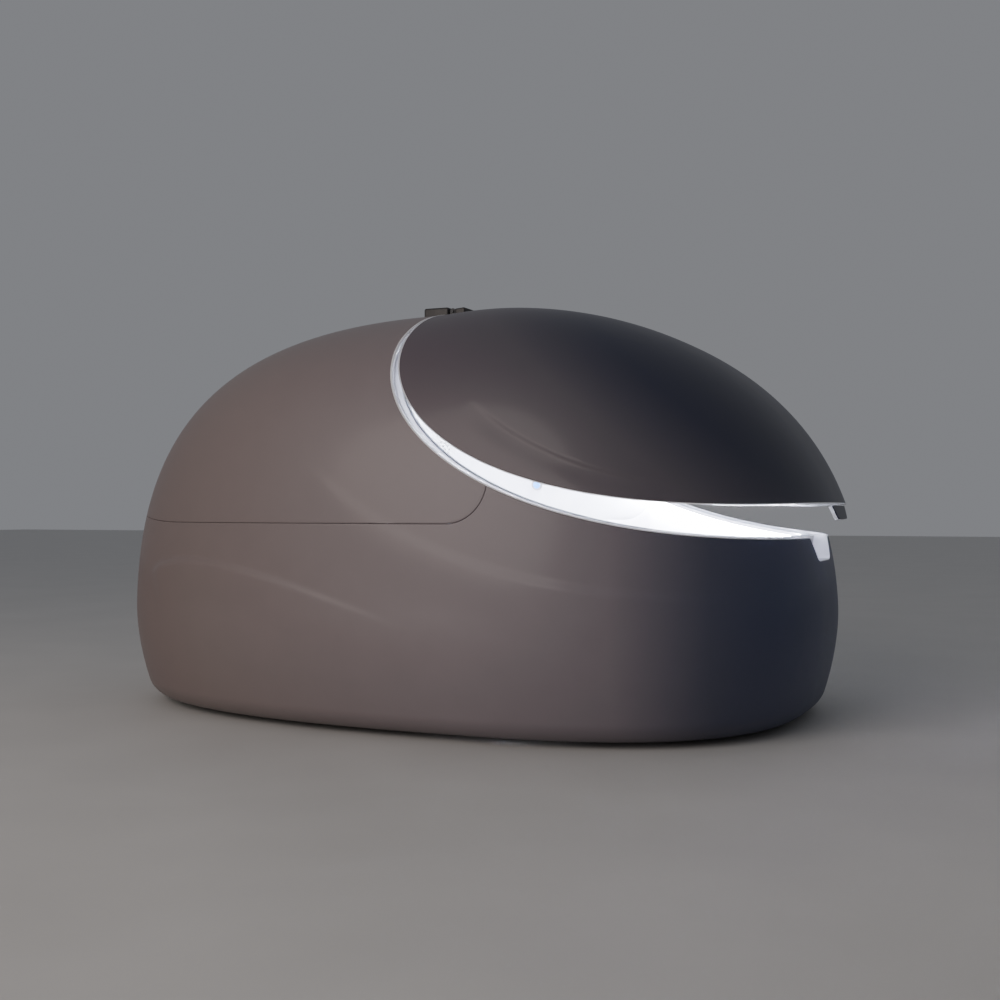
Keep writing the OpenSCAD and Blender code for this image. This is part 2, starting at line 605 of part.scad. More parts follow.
pull_half_low = recess_low_w/2 - pull_low_in;
function nose_pt(y, z) = [mid_x(z) + nose_reach(z)*bow(abs(y)/half_w(z), nose_n), y, z];
function pull_pt(i, j) = nose_pt(
    (pull_half_top + (pull_half_low - pull_half_top)*j/pull_rows)*(2*i/pull_steps - 1),
    rim_front_z - rim_low - bond - (pull_h + rim_low)*j/pull_rows);
function pull_at(i, j) = i*(pull_rows + 1) + j;
module lid_pull() color("lightsteelblue") lid_pose() {
    pts = [for (i = [0:pull_steps], j = [0:pull_rows]) pull_pt(i, j)];
    sheet(pts, [for (p = pts) egg_normal(p)],
        [for (i = [0:pull_steps - 1], j = [0:pull_rows - 1]) each [
            [pull_at(i, j), pull_at(i + 1, j), pull_at(i + 1, j + 1)],
            [pull_at(i, j), pull_at(i + 1, j + 1), pull_at(i, j + 1)]]],
        [concat([for (i = [0:pull_steps]) pull_at(i, 0)], [for (j = [1:pull_rows]) pull_at(pull_steps, j)],
            [for (i = [pull_steps - 1:-1:0]) pull_at(i, pull_rows)],
            [for (j = [pull_rows - 1:-1:1]) pull_at(0, j)])], 0, pull_t);
}
module inner_handle() color("silver") lid_pose() on_lid_liner(bar_x) {
    back = liner_t + bar_back;
    for (s = [near, far]) {
        translate([s*bar_half, 0, -back]) cylinder(r = bar_r, h = bar_drop + back);
        translate([s*bar_half, 0, bar_drop]) sphere(r = bar_r);
    }
    translate([0, 0, bar_drop]) along_x(bar_r, -bar_half, bar_half);
}

// ---- hinge across the crown ----
plate_h = 10;
knuckle_r = 10;
knuckle_gap = 1;
knuckle_in = 10;
knuckle_ends = [-1, -0.63, -0.19, 0.19, 0.63, 1];
bush_t = 2;
bush_fit = 0.02;
leg_w = 7;
leg_drop = 14;
leg_in = 20;
hood_face = rim_crown_x + rim_low;
lid_face = rim_crown_x - rim_low;
function knuckle_y(k) = knuckle_ends[k]*(hinge_half - knuckle_in);
module along_pin(y0, y1, r) translate([pin.x, 0, pin.y]) along_y(r, y0, y1);
module knuckles(first, x0, x1) for (k = [first:2:len(knuckle_ends) - 2]) {
    a = knuckle_y(k) + knuckle_gap/2;
    b = knuckle_y(k + 1) - knuckle_gap/2;
    along_pin(a, b, knuckle_r);
    translate([x0, a, pocket_z]) cube([x1 - x0, b - a, pin.y - pocket_z]);
}
module hinge_leg(x0) translate([x0, -hinge_half + leg_in, bolt_z - leg_drop])
    cube([leg_w, 2*(hinge_half - leg_in), pocket_z + plate_h/2 - bolt_z + leg_drop]);
module hinge_leaf(x0, x1) translate([x0, -hinge_half, pocket_z]) cube([x1 - x0, 2*hinge_half, plate_h]);
module hinge_base() color("silver") difference() {
    union() {
        hinge_leaf(rim_crown_x - block_tail, hood_face);
        hinge_leg(hood_face - rim_t - lap - leg_w);
        knuckles(0, hood_face - leg_w, hood_face);
    }
    along_pin(-hinge_half, hinge_half, pin_r + bush_fit);
    hinge_bolt_holes(hinge_bolt_r + bond);
}
module lid_hinge_leaf() color("silver") lid_pose() difference() {
    union() {
        hinge_leaf(lid_face, rim_crown_x + block_nose);
        hinge_leg(lid_face + rim_t + lap);
        knuckles(1, lid_face, lid_face + leg_w);
    }
    along_pin(-hinge_half, hinge_half, pin_r + bush_t + bush_fit);
    hinge_bolt_holes(hinge_bolt_r + bond);
}
module hinge_bushes() color("peru") lid_pose() for (k = [1, 3]) difference() {
    along_pin(knuckle_y(k) + knuckle_gap/2, knuckle_y(k + 1) - knuckle_gap/2, pin_r + bush_t);
    along_pin(-hinge_half, hinge_half, pin_r + run);
}
pin_in = 6;
module hinge_pin() color("silver") along_pin(-hinge_half + pin_in, hinge_half - pin_in, pin_r);
bolt_head = 5;
bolt_short = 1;
module hinge_bolt(x_head, x_tip) for (k = bolt_rows) translate([0, k*bolt_pitch, bolt_z]) {
    back = x_tip > x_head ? bolt_head : 0;
    along_x(hinge_bolt_r, min(x_head, x_tip), max(x_head, x_tip), $fn = 24);
    along_x(1.7*hinge_bolt_r, x_head - back, x_head - back + bolt_head, $fn = 6);
}
module hinge_bolts() color("silver")
    hinge_bolt(hood_face - rim_t - lap - leg_w - bond, hood_face - bolt_short);
module lid_hinge_bolts() color("silver") lid_pose()
    hinge_bolt(lid_face + rim_t + lap + leg_w + bond, lid_face + bolt_short);
cover_t = 4;
cover_top = crown_z + cover_rise;
cover_low = pocket_z + plate_h + bond;
cover_gap = 1;
lid_cover_gap = 2;
lid_cover_drop = 7;
module cover_shell(x0, x1, top) difference() {
    translate([x0, -hinge_half, cover_low]) cube([x1 - x0, 2*hinge_half, top - cover_low]);
    translate([x0 + cover_t, -hinge_half + cover_t, cover_low - 1])
        cube([x1 - x0 - 2*cover_t, 2*(hinge_half - cover_t), top - cover_t - cover_low + 1]);
}
module hinge_cover() color("white")
    cover_shell(rim_crown_x - block_tail, pin.x - knuckle_r - cover_gap, cover_top);
module lid_hinge_cover() color("lightsteelblue") lid_pose()
    cover_shell(pin.x + knuckle_r + lid_cover_gap, rim_crown_x + block_nose, cover_top - lid_cover_drop);

// ---- gas struts, drawn at the stored lid angle ----
function swing(p, a) = [pin.x + (p.x - pin.x)*cos(a) - (p.y - pin.y)*sin(a),
    pin.y + (p.x - pin.x)*sin(a) + (p.y - pin.y)*cos(a)];
head_now = swing(strut_head, lid_open);
strut_now = norm(head_now - strut_foot);
strut_tilt = atan2(head_now.y - strut_foot.y, head_now.x - strut_foot.x);
eye_r = 9;
eye_half = 4;
eye_slack = 7;
eye_wall = 4;
stud_r = 4;
washer_t = 2;
strut_rod_r = 4;
strut_wall = 2;
strut_bore = strut_r - strut_wall;
strut_start = eye_r + 3;
bore_start = eye_r + 15;
bore_end = eye_r + strut_len - 7;
rod_len = 215;
piston_len = 12;
module strut_frame(side) translate([strut_foot.x, side*strut_y, strut_foot.y]) rotate([0, -strut_tilt, 0])
    children();
module strut_cylinder(side) color("dimgray") strut_frame(side) difference() {
    union() {
        across(eye_r, 2*eye_half);
        along_x(strut_r, strut_start, strut_start + strut_len);
        translate([0, -eye_half, -eye_half - 1]) cube([strut_start + 2, 2*eye_half, 2*eye_half + 2]);
    }
    across(stud_r + run, 4*eye_half);
    along_x(strut_bore, bore_start, bore_end);
    along_x(strut_rod_r + run, bore_start, strut_start + strut_len + 1);
}
module strut_rod(side) color("silver") strut_frame(side) difference() {
    union() {
        along_x(strut_rod_r, strut_now - rod_len, strut_now - stud_r - eye_slack - eye_wall/2);
        along_x(strut_bore - run, strut_now - rod_len, strut_now - rod_len + piston_len);
        translate([strut_now, 0, 0]) across(stud_r + eye_slack + eye_wall, 2*eye_half);
    }
    translate([strut_now, 0, 0]) across(stud_r + eye_slack, 4*eye_half);
}
// A stud runs from the hanger plate through the strut's eye to a washer on its far side
module stud_on(p, washer_r) for (s = [near, far]) {
    inner = -eye_half - washer_t - 1;
    translate([p.x, s*(strut_y + (plate_gap + inner)/2), p.y]) across(stud_r, plate_gap - inner);
    translate([p.x, s*(strut_y + inner + washer_t/2), p.y]) across(washer_r, washer_t);
}
module plate_on(p) for (s = [near, far]) {
    mid = s*(strut_y + plate_gap + plate_t/2);
    translate([p.x - plate_half, mid - plate_t/2, p.y]) cube([2*plate_half, plate_t, plate_top - p.y]);
    translate([p.x, mid, p.y]) across(plate_half, plate_t);
}
module hood_strut_plates() color("silver") {
    plate_on(strut_foot);
    stud_on(strut_foot, eye_r);
}
module lid_strut_plates() color("silver") lid_pose() {
    plate_on(strut_head);
    stud_on(strut_head, stud_r + eye_slack + 6);
}
module strut_cylinder_right() strut_cylinder(near);
module strut_cylinder_left() strut_cylinder(far);
module strut_rod_right() strut_rod(near);
module strut_rod_left() strut_rod(far);

// ---- frame and feet ----
frame_top = pool_z - liner_t - bond;
frame_low = frame_top - rail_h;
rail_y = 260;
rail_tail_in = 135;
rail_nose_in = 405;
rail_tail = rail_tail_in - pod_len/2;
rail_nose = pod_len/2 - rail_nose_in;
bar_xs = [-640, 0, 600];
bar_ins = [310, 125, 125];
bar_halves = [for (d = bar_ins) pod_w/2 - d];
foot_y = 420;
foot_h = 12;
stem_r = 8;
frame_wall = 3;
function foot_places() = concat([[0, 0]], [for (x = bar_xs, s = [near, far]) [x, s*foot_y]]);
module beam(x0, x1, y0, y1, wall) {
    along = x1 - x0 > y1 - y0;
    difference() {
        translate([x0, y0, frame_low]) cube([x1 - x0, y1 - y0, rail_h]);
        translate([x0 + (along ? -1 : wall), y0 + (along ? wall : -1), frame_low + wall])
            cube([x1 - x0 + (along ? 2 : -2*wall), y1 - y0 + (along ? -2*wall : 2), rail_h - 2*wall]);
    }
}
module base_frame() color("gray") difference() {
    union() {
        for (s = [near, far])
            beam(rail_tail, rail_nose, s*rail_y - rail_w/2, s*rail_y + rail_w/2, frame_wall);
        for (i = [0:len(bar_xs) - 1], span = [[-bar_halves[i], -rail_y - rail_w/2],
                [-rail_y + rail_w/2, rail_y - rail_w/2], [rail_y + rail_w/2, bar_halves[i]]])
            beam(bar_xs[i] - rail_w/2, bar_xs[i] + rail_w/2, span[0], span[1], frame_wall);
    }
    for (p = foot_places()) translate([p.x, p.y, frame_low - 1])
        cylinder(r = stem_r + bond, h = rail_h - frame_wall);
}
module levelling_feet() color("dimgray") for (p = foot_places()) translate([p.x, p.y, 0]) {
    cylinder(r = foot_r, h = foot_h);
    cylinder(r = stem_r, h = frame_low + rail_h/2);
}
nut_h = 10;
module foot_nuts() color("silver") for (p = foot_places()) translate([p.x, p.y, frame_low - nut_h - bond])
    difference() {
        cylinder(r = 1.7*stem_r, h = nut_h, $fn = 6);
        translate([0, 0, -1]) cylinder(r = stem_r + run, h = nut_h + 2);
    }

// ---- plant under the tail ----
tray_t = 4;
tray_z = frame_top + bond;
plant_z = tray_z + tray_t + bond;
plant_in = 163;
plant_x = plant_in - pod_len/2;
tray_tail = plant_x - 88;
tray_nose = plant_x + 102;
tray_tail_half = 240;
tray_nose_half = 420;
module equipment_tray() color("silver") translate([0, 0, tray_z]) linear_extrude(tray_t)
    polygon([[tray_tail, -tray_tail_half], [tray_nose, -tray_nose_half],
        [tray_nose, tray_nose_half], [tray_tail, tray_tail_half]]);
pipe_r = 16;
pipe_wall = 2;
collar_r = pipe_r + 4;
port_r = pipe_r - pipe_wall;
pump_z = plant_z + volute_r;
pump_y = -20;
volute_w = 44;
volute_wall = 8;
volute_side = 6;
volute_back = pump_y - volute_w;
spout_len = 16;
spout_top = 10;
out_x = volute_r - pipe_r - 5;
motor_r = 48;
motor_len = 150;
motor_face = volute_back - bond;
fin_t = 3;
fin_out = 4;
shaft_r = 6;
shaft_end = volute_back - motor_len/2;
foot_half = 30;
module at_pump() translate([plant_x, 0, pump_z]) children();
module pump_volute() color("dimgray") at_pump() difference() {
    union() {
        along_y(volute_r, volute_back, pump_y);
        along_y(collar_r, pump_y - 1, pump_y + spout_len);
        translate([out_x, pump_y - volute_w/2, 0]) cylinder(r = collar_r, h = volute_r + spout_top);
        translate([-1.2*foot_half, volute_back, -volute_r]) cube([2.4*foot_half, volute_w, 1.2*foot_half]);
    }
    along_y(volute_r - volute_wall, volute_back + volute_side, pump_y - volute_side);
    along_y(port_r, pump_y - volute_side - 1, pump_y + spout_len + 1);
    translate([out_x, pump_y - volute_w/2, spout_top]) cylinder(r = port_r, h = volute_r + spout_top);
    along_y(shaft_r + run, volute_back - 1, volute_back + volute_side + 1);
}
module pump_motor() color("darkslategray") at_pump() difference() {
    union() {
        along_y(motor_r, motor_face - motor_len, motor_face);
        for (a = [0:30:330]) rotate([0, a, 0])
            translate([motor_r - 2, motor_face - motor_len + 10, -fin_t/2])
                cube([fin_out + 2, motor_len - 30, fin_t]);
        translate([-foot_half, motor_face - motor_len + 20, -volute_r])
            cube([2*foot_half, motor_len - 50, volute_r - motor_r + 12]);
    }
    along_y(shaft_r + 2, shaft_end, volute_back + 1);
}
vane_n = 6;
vane_t = 3;
hub_r = 14;
impeller_gap = 6;
impeller_r = volute_r - volute_wall - impeller_gap;
impeller_back = volute_back + volute_side + 2;
module pump_impeller() color("ivory") at_pump() {
    along_y(impeller_r, impeller_back, impeller_back + 4);
    along_y(hub_r, impeller_back, pump_y - volute_side - impeller_gap);
    for (a = [0:360/vane_n:359]) rotate([0, a, 0]) translate([hub_r - 4, impeller_back + 2, -vane_t/2])
        cube([impeller_r - hub_r + 2, volute_w - 2*volute_side - 2*impeller_gap, vane_t]);
    along_y(shaft_r, shaft_end + 5, impeller_back + 1);
}
filter_y = 40;
filter_len = 230;
filter_wall = 5;
filter_z = pump_z;
saddle_h = volute_r - 0.6*filter_r;
saddle_ys = [20, filter_len - 60];
saddle_w = 30;
filter_in_y = 170;
inlet_len = 6;
cartridge_r = filter_r - filter_wall - bond;
core_r = 18;
pleat_pitch = 15;
pleat_t = 3;
pleat_d = 7;
cap_len = 26;
cap_over = 12;
cap_wall = 4;
rib_h = 12;
rib_w = 8;
module at_filter() translate([plant_x, 0, filter_z]) children();
module filter_housing() color("white") at_filter() difference() {
    union() {
        along_y(filter_r, filter_y, filter_y + filter_len);
        for (y = saddle_ys) translate([-0.6*filter_r, filter_y + y, -volute_r])
            cube([1.2*filter_r, saddle_w, saddle_h]);
        along_y(collar_r, filter_y - spout_len, filter_y + 1);
        translate([0, filter_in_y, 0]) along_x(collar_r, 0, filter_r + inlet_len);
    }
    along_y(filter_r - filter_wall, filter_y + filter_wall, filter_y + filter_len + 1);
    along_y(port_r, filter_y - spout_len - 1, filter_y + filter_wall + 1);
    translate([0, filter_in_y, 0]) along_x(port_r, filter_r - filter_wall - 3, filter_r + inlet_len + 1);
}
module filter_cartridge() color("lightblue") at_filter() difference() {
    along_y(cartridge_r, filter_y + filter_wall + bond, filter_y + filter_len - 6);
    along_y(core_r, filter_y, filter_y + filter_len);
    for (a = [0:pleat_pitch:359]) rotate([0, a, 0])
        translate([cartridge_r - pleat_d, filter_y - 1, -pleat_t/2])
            cube([filter_r, filter_len + 2, pleat_t]);
}
module filter_cap() color("dimgray") at_filter() {
    rim = filter_y + filter_len - cap_over;
    difference() {
        along_y(filter_r + cap_wall, rim, rim + cap_len);
        along_y(filter_r + run, rim - 1, rim + cap_over + 0.5);
    }
    for (a = [0, 90]) rotate([0, a, 0]) translate([-filter_r + rib_h/2, rim + cap_len - 1, -rib_w/2])
        cube([2*filter_r - rib_h, rib_h, rib_w]);
}

// ---- water line: pool, filter, pump, lamp, heater, jet ----
line_in = 160;
line_y = pod_w/2 - line_in;
base_rise = 6;
line_z = frame_top + bond + line_r + base_rise;
uv_x = -100;
heater_x = 300;
line_len = 340;
vessel_end = 12;
vessel_wall = 3;
band_w = 18;
band_t = 4;
uv_r = 12;
fitting_tail = 34;
fitting_back = 10;
fitting_front = 6;
neck_len = fitting_tail + 22;
function end_out(end, t, l) = end_pt(end, t) + l*end_n(end, t);
module wall_fitting(r) {
    translate([0, 0, -fitting_back]) cylinder(r = r, h = fitting_back + fitting_front);
    translate([0, 0, -fitting_tail]) cylinder(r = collar_r, h = fitting_tail);
}
module suction_fitting() color("silver") on_end_wall(-1, suction_share) difference() {
    wall_fitting(suction_r);
    translate([0, 0, -fitting_tail - 1]) cylinder(r = port_r, h = fitting_tail);
    for (a = [0:45:315]) rotate(a) translate([28, 0, -4]) cylinder(r = 7, h = 20);
    translate([0, 0, -4]) cylinder(r = 9, h = 20);
    translate([0, 0, -6]) cylinder(r = suction_r - 10, h = 5);
}
module return_jet() color("silver") on_end_wall(1, jet_share) difference() {
    wall_fitting(jet_r);
    translate([0, 0, -fitting_tail - 1]) cylinder(r = port_r, h = fitting_tail + 20);
}
module suction_route() {
    a = end_out(-1, suction_share, fitting_tail + bond);
    b = end_out(-1, suction_share, neck_len);
    inlet = plant_x + filter_r + inlet_len + bond;
    hose([a, b, [b.x - 10, 60, b.z], [inlet + 20, filter_in_y - 20, filter_z],
        [inlet + 16, filter_in_y, filter_z], [inlet, filter_in_y, filter_z]], pipe_r, pipe_wall);
}
module lamp_route() {
    x = plant_x + out_x;
    y = pump_y - volute_w/2;
    z = pump_z + volute_r + spout_top + bond;
    hose([[x, y, z], [x, y, z + 34], [x - 16, 240, z + 34], [tray_nose, line_y - 270, z + 4],
        [tray_nose + 200, line_y - 120, pool_z + 90], [uv_x - 300, line_y - 15, pool_z + 47],
        [uv_x - 40, line_y, line_z], [uv_x - bond, line_y, line_z]], pipe_r, pipe_wall);
}
module jet_route() {
    a = end_out(1, jet_share, fitting_tail + bond);
    b = end_out(1, jet_share, neck_len);
    hose([[heater_x + line_len + bond, line_y, line_z], [heater_x + line_len + 30, line_y, line_z],
        [pool_nose_x - 30, line_y - 60, line_z], [pool_nose_x + 150, line_y - 230, line_z],
        [pool_nose_x + 235, line_y - 490, line_z], [b.x + 10, 50, b.z], b, a], pipe_r, pipe_wall);
}
module water_pipes() color("white") {
    suction_route();
    lamp_route();
    translate([0, line_y, line_z]) difference() {
        along_x(pipe_r, uv_x + line_len + bond, heater_x - bond);
        along_x(port_r, uv_x, heater_x + line_len);
    }
    jet_route();
    at_pump() difference() {
        along_y(collar_r + 5, pump_y + 4, filter_y - 4);
        along_y(collar_r + bond, pump_y, filter_y);
    }
}
module line_vessel(x, saddle_x) translate([x, line_y, line_z]) difference() {
    union() {
        translate([saddle_x - x - 14, -line_r - base_rise, frame_top + bond - line_z])
            cube([28, 2*(line_r + base_rise), line_r]);
        along_x(line_r, vessel_end, line_len - vessel_end);
        along_x(line_r + band_t, vessel_end, vessel_end + band_w);
        along_x(line_r + band_t, line_len - vessel_end - band_w, line_len - vessel_end);
        along_x(collar_r, 0, line_len);
    }
    along_x(line_r - vessel_wall, vessel_end + base_rise, line_len - vessel_end - base_rise);
    along_x(port_r, -1, line_len + 1);
}
module end_disc() along_x(line_r - vessel_wall - bond, vessel_end + base_rise + bond, 2*vessel_end);
module uv_vessel() color("silver") line_vessel(uv_x, bar_xs[1]);
module uv_lamp() color("aliceblue") translate([uv_x, line_y, line_z]) {
    end_disc();
    along_x(uv_r, 2*vessel_end - 1, line_len - 2*vessel_end - 6);
}
module heater_vessel() color("silver") line_vessel(heater_x, bar_xs[2]);
element_r = 4;
module heater_element() color("darkred") translate([heater_x, line_y, line_z]) {
    end_disc();
    for (a = [0:120:240]) rotate([a, 0, 0]) translate([0, 0, line_r/2])
        along_x(element_r, 2*vessel_end - 1, line_len - 2*vessel_end - 16);
}

// ---- drain ----
drain_z = 80;
drain_wall = 4;
drain_pipe_wall = 6;
drain_fit = 0.3;
grate_t = 4;
grate_hole_r = 4;
neck_low = 120;
outlet_in = 195;
outlet_x = outlet_in - pod_len/2;
valve_in = 100;
valve_x = outlet_x + valve_in;
valve_half = 30;
valve_bore_r = drain_r - 3;
ball_r = 25;
bonnet_r = 10;
bonnet_y = 44;
spindle_r = 5;
service_z = 40;
service_t = 4;
outlet_drop = 20;
nut_t = 12;
module pool_drain() color("silver") translate([drain_x, 0, 0]) difference() {
    union() {
        translate([0, 0, pool_z + drain_fit]) cylinder(r = 1.5*drain_neck_r, h = grate_t);
        translate([0, 0, neck_low]) cylinder(r = drain_neck_r, h = pool_z - neck_low + 1);
    }
    translate([0, 0, neck_low - 1]) cylinder(r = drain_r, h = pool_z - neck_low + 1);
    for (a = [0:60:300]) rotate(a) translate([13, 0, pool_z - 1]) cylinder(r = grate_hole_r, h = 10);
}
module drain_pipes() color("white") {
    pipe([[drain_x, 0, neck_low - bond], [drain_x, 0, drain_z], [valve_x + valve_half + bond, 0, drain_z]],
        drain_r + drain_wall, drain_pipe_wall);
    pipe([[valve_x - valve_half - bond, 0, drain_z], [outlet_x, 0, drain_z],
        [outlet_x, 0, service_z + nut_t + bond]], drain_r + drain_wall, drain_pipe_wall);
}
module drain_valve() color("dimgray") translate([valve_x, 0, drain_z]) difference() {
    union() {
        along_x(ball_r + 6, -valve_half, valve_half);
        along_y(bonnet_r, 0, bonnet_y);
    }
    along_x(valve_bore_r, -valve_half - 1, valve_half + 1);
    sphere(r = ball_r);
    along_y(spindle_r + run, 0, bonnet_y + 6);
}
lever_len = 85;
lever_t = 6;
lever_w = 14;
lever_y = bonnet_y + 1;
module drain_lever() color("crimson") translate([valve_x, 0, drain_z]) {
    difference() {
        union() {
            sphere(r = ball_r - 4*run);
            along_y(spindle_r, 0, lever_y + 1);
        }
        cylinder(r = valve_bore_r, h = 4*ball_r, center = true);
    }
    along_y(9, lever_y, lever_y + lever_t);
    translate([-lever_w/2, lever_y, 0]) cube([lever_w, lever_t, lever_len]);
}
outlet_r = drain_r + 5;
module drain_outlet() color("dimgray") translate([outlet_x, 0, 0]) difference() {
    union() {
        translate([0, 0, outlet_drop]) cylinder(r = outlet_r, h = service_z + nut_t - outlet_drop);
        translate([0, 0, service_z + service_t + bond])
            cylinder(r = outlet_r + 7, h = nut_t - service_t - bond);
    }
    cylinder(r = drain_r, h = 2*service_z);
}
gland_y = -150;
gland_wall = 3;
gland_nut = 7;
gland_drop = 16;
gland_rise = 20;
service_half = 280;
service_tail = 45;
service_w = 90;
hanger_w = 40;
module service_plate() color("silver") difference() {
    union() {
        translate([outlet_x - service_tail, -service_half, service_z])
            cube([service_w, 2*service_half, service_t]);
        for (s = [near, far]) translate([outlet_x - hanger_w/2, s*rail_y - service_t/2, service_z + 1])
            cube([hanger_w, service_t, frame_low - bond - service_z - 1]);
    }
    translate([outlet_x, 0, 0]) cylinder(r = outlet_r + bond, h = 2*service_z);
    translate([outlet_x, gland_y, 0]) cylinder(r = gland_r + gland_wall + bond, h = 2*service_z);
}
module power_gland() color("black") translate([outlet_x, gland_y, service_z]) difference() {
    union() {
        translate([0, 0, -gland_drop]) cylinder(r = gland_r + gland_wall, h = gland_drop + gland_rise);
        translate([0, 0, -nut_t]) cylinder(r = gland_r + gland_nut, h = nut_t - bond, $fn = 6);
        translate([0, 0, service_t + bond]) cylinder(r = gland_r + gland_nut, h = 8, $fn = 6);
    }
    cylinder(r = gland_r, h = 4*gland_rise, center = true);
}
box_y = -325;
box_size = [80, 98, 104];
box_wall = 3;
box_lid_t = 6;
module control_box() color("lightgray") translate([plant_x + 7, box_y, plant_z]) {
    difference() {
        cube(box_size);
        translate([box_wall, box_wall, box_wall]) cube(box_size - [2*box_wall, 2*box_wall, 0]);
    }
    translate([-box_wall, -box_wall, box_size.z + bond])
        cube([box_size.x + 2*box_wall, box_size.y + 2*box_wall, box_lid_t]);
}

// ---- cabin fittings ----
flange_back = 10;
flange_front = 6;
fan_wall = 4;
fan_hub = 13;
fan_back = -40;
spider_t = 3;
axle_r = 3;
blade_n = 7;
blade_w = 24;
blade_t = 2;
module fan_housing() color("white") on_tail_liner() difference() {
    union() {
        tube(fan_r - fan_wall, fan_r - 2*fan_wall, fan_back, -flange_back + 1);
        tube(fan_r, fan_r - 2*fan_wall, -flange_back, flange_front);
        for (z = [fan_back, flange_front - spider_t]) {
            translate([0, 0, z]) cylinder(r = fan_hub, h = spider_t);
            for (a = [0:45:315]) rotate(a) translate([fan_hub - 1, -spider_t/2, z])
                cube([fan_r - 1.5*fan_wall - fan_hub, spider_t, spider_t]);
        }
    }
    translate([0, 0, fan_back - 1]) cylinder(r = axle_r + run, h = flange_front - fan_back + 2);
}
module vent_fan() color("dimgray") on_tail_liner() {
    translate([0, 0, fan_back + spider_t + 2]) cylinder(r = fan_hub, h = blade_w);
    translate([0, 0, fan_back + 0.5]) cylinder(r = axle_r, h = flange_front - fan_back - 1);
    blade_len = fan_r - 2*fan_wall - 1 - fan_hub;
    for (a = [0:360/blade_n:359]) rotate([0, 0, a])
        translate([fan_hub - 2, 0, fan_back + spider_t + 2 + blade_w/2]) rotate([35, 0, 0])
            translate([0, -blade_w/2, -blade_t/2]) cube([blade_len, blade_w, blade_t]);
}
can_d = 34;
vent_hole_r = 5;
speaker_rings = [15, 30];
module speaker_hole(x) translate([x, 0, -fan_wall]) cylinder(r = vent_hole_r, h = 20);
module speakers() color("white") for (s = [near, far]) on_liner(speaker_x, speaker_z, s) difference() {
    union() {
        translate([0, 0, -can_d]) cylinder(r = speaker_r - 8, h = can_d);
        translate([0, 0, -flange_back]) cylinder(r = speaker_r, h = flange_back + flange_front);
    }
    speaker_hole(0);
    for (ring = speaker_rings, a = [0:900/ring:359]) rotate(a) speaker_hole(ring);
}
switch_back = 16;
switch_floor = 3;
press = 2.5;
press_gap = 0.5;
module switch_housings() color("silver") for (s = [near, far]) on_liner(switch_x, switch_z, s) difference() {
    translate([0, 0, -switch_back]) cylinder(r = switch_r, h = switch_back + flange_front);
    translate([0, 0, -switch_back + switch_floor]) cylinder(r = button_r + run, h = 3*switch_back);
}
module push_button(side) on_liner(switch_x, switch_z, side)
    translate([0, 0, -switch_back + switch_floor + press + press_gap])
        cylinder(r = button_r, h = switch_back + flange_front - press);
module light_button() color("deepskyblue") push_button(far);
module help_button() color("orangered") push_button(near);
lamp_can = 30;
lamp_rim = 7;
lens_t = 4;
module pool_lamps() color("silver") for (s = [near, far]) on_side_wall(lamp_x, s, lamp_share) difference() {
    union() {
        translate([0, 0, -flange_back]) cylinder(r = lamp_r, h = flange_back + flange_front);
        translate([0, 0, -lamp_can]) cylinder(r = lamp_r - 10, h = lamp_can);
    }
    translate([0, 0, -lamp_can + 8]) cylinder(r = lamp_r - 2*lamp_rim, h = 2*lamp_can);
    translate([0, 0, flange_front - lens_t]) cylinder(r = lamp_r - lamp_rim, h = 2*lamp_can);
}
module lamp_lenses() color("azure") for (s = [near, far]) on_side_wall(lamp_x, s, lamp_share)
    translate([0, 0, flange_front - lens_t + bond]) cylinder(r = lamp_r - lamp_rim - bond, h = lens_t);

lower_shell();
tail_hood();
rim_flange();
nose_grip();
rim_seal();
halo_light();
hood_liner();
bath_tub();
lid_shell();
lid_liner();
lid_flange();
lid_pull();
inner_handle();
hinge_base();
lid_hinge_leaf();
hinge_bushes();
hinge_pin();
hinge_bolts();
lid_hinge_bolts();
hinge_cover();
lid_hinge_cover();
hood_strut_plates();
lid_strut_plates();
strut_cylinder_right();
strut_cylinder_left();
strut_rod_right();
strut_rod_left();
base_frame();
levelling_feet();
foot_nuts();
equipment_tray();
pump_volute();
pump_motor();
pump_impeller();
filter_housing();
filter_cartridge();
filter_cap();
suction_fitting();
return_jet();
water_pipes();
uv_vessel();
uv_lamp();
heater_vessel();
heater_element();
pool_drain();
drain_pipes();
drain_valve();
drain_lever();
drain_outlet();
service_plate();
power_gland();
control_box();
fan_housing();
vent_fan();
speakers();
switch_housings();
light_button();
help_button();
pool_lamps();
lamp_lenses();
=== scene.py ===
from math import acos, comb, cos, pi, radians, sin

import bmesh
import bpy
import numpy as np
from mathutils import Matrix, Vector


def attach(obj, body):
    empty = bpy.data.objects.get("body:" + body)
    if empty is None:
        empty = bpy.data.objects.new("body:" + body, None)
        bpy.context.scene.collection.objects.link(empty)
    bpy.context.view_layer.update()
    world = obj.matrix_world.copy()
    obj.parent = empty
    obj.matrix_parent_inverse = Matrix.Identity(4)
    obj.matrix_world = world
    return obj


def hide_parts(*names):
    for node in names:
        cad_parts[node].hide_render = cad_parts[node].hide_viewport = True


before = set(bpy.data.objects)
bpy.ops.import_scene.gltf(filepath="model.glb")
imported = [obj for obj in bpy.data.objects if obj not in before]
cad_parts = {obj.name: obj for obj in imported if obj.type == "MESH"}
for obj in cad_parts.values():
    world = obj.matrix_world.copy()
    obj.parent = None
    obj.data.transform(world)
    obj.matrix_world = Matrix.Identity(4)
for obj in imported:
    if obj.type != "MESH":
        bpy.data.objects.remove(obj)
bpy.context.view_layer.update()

# ---- Base frame and feet ----
# A ladder of welded steel box rails stands on seven screwed feet and carries the whole pod.
# The rails are powder coated, the feet are moulded rubber on zinc-plated studs and lock nuts.


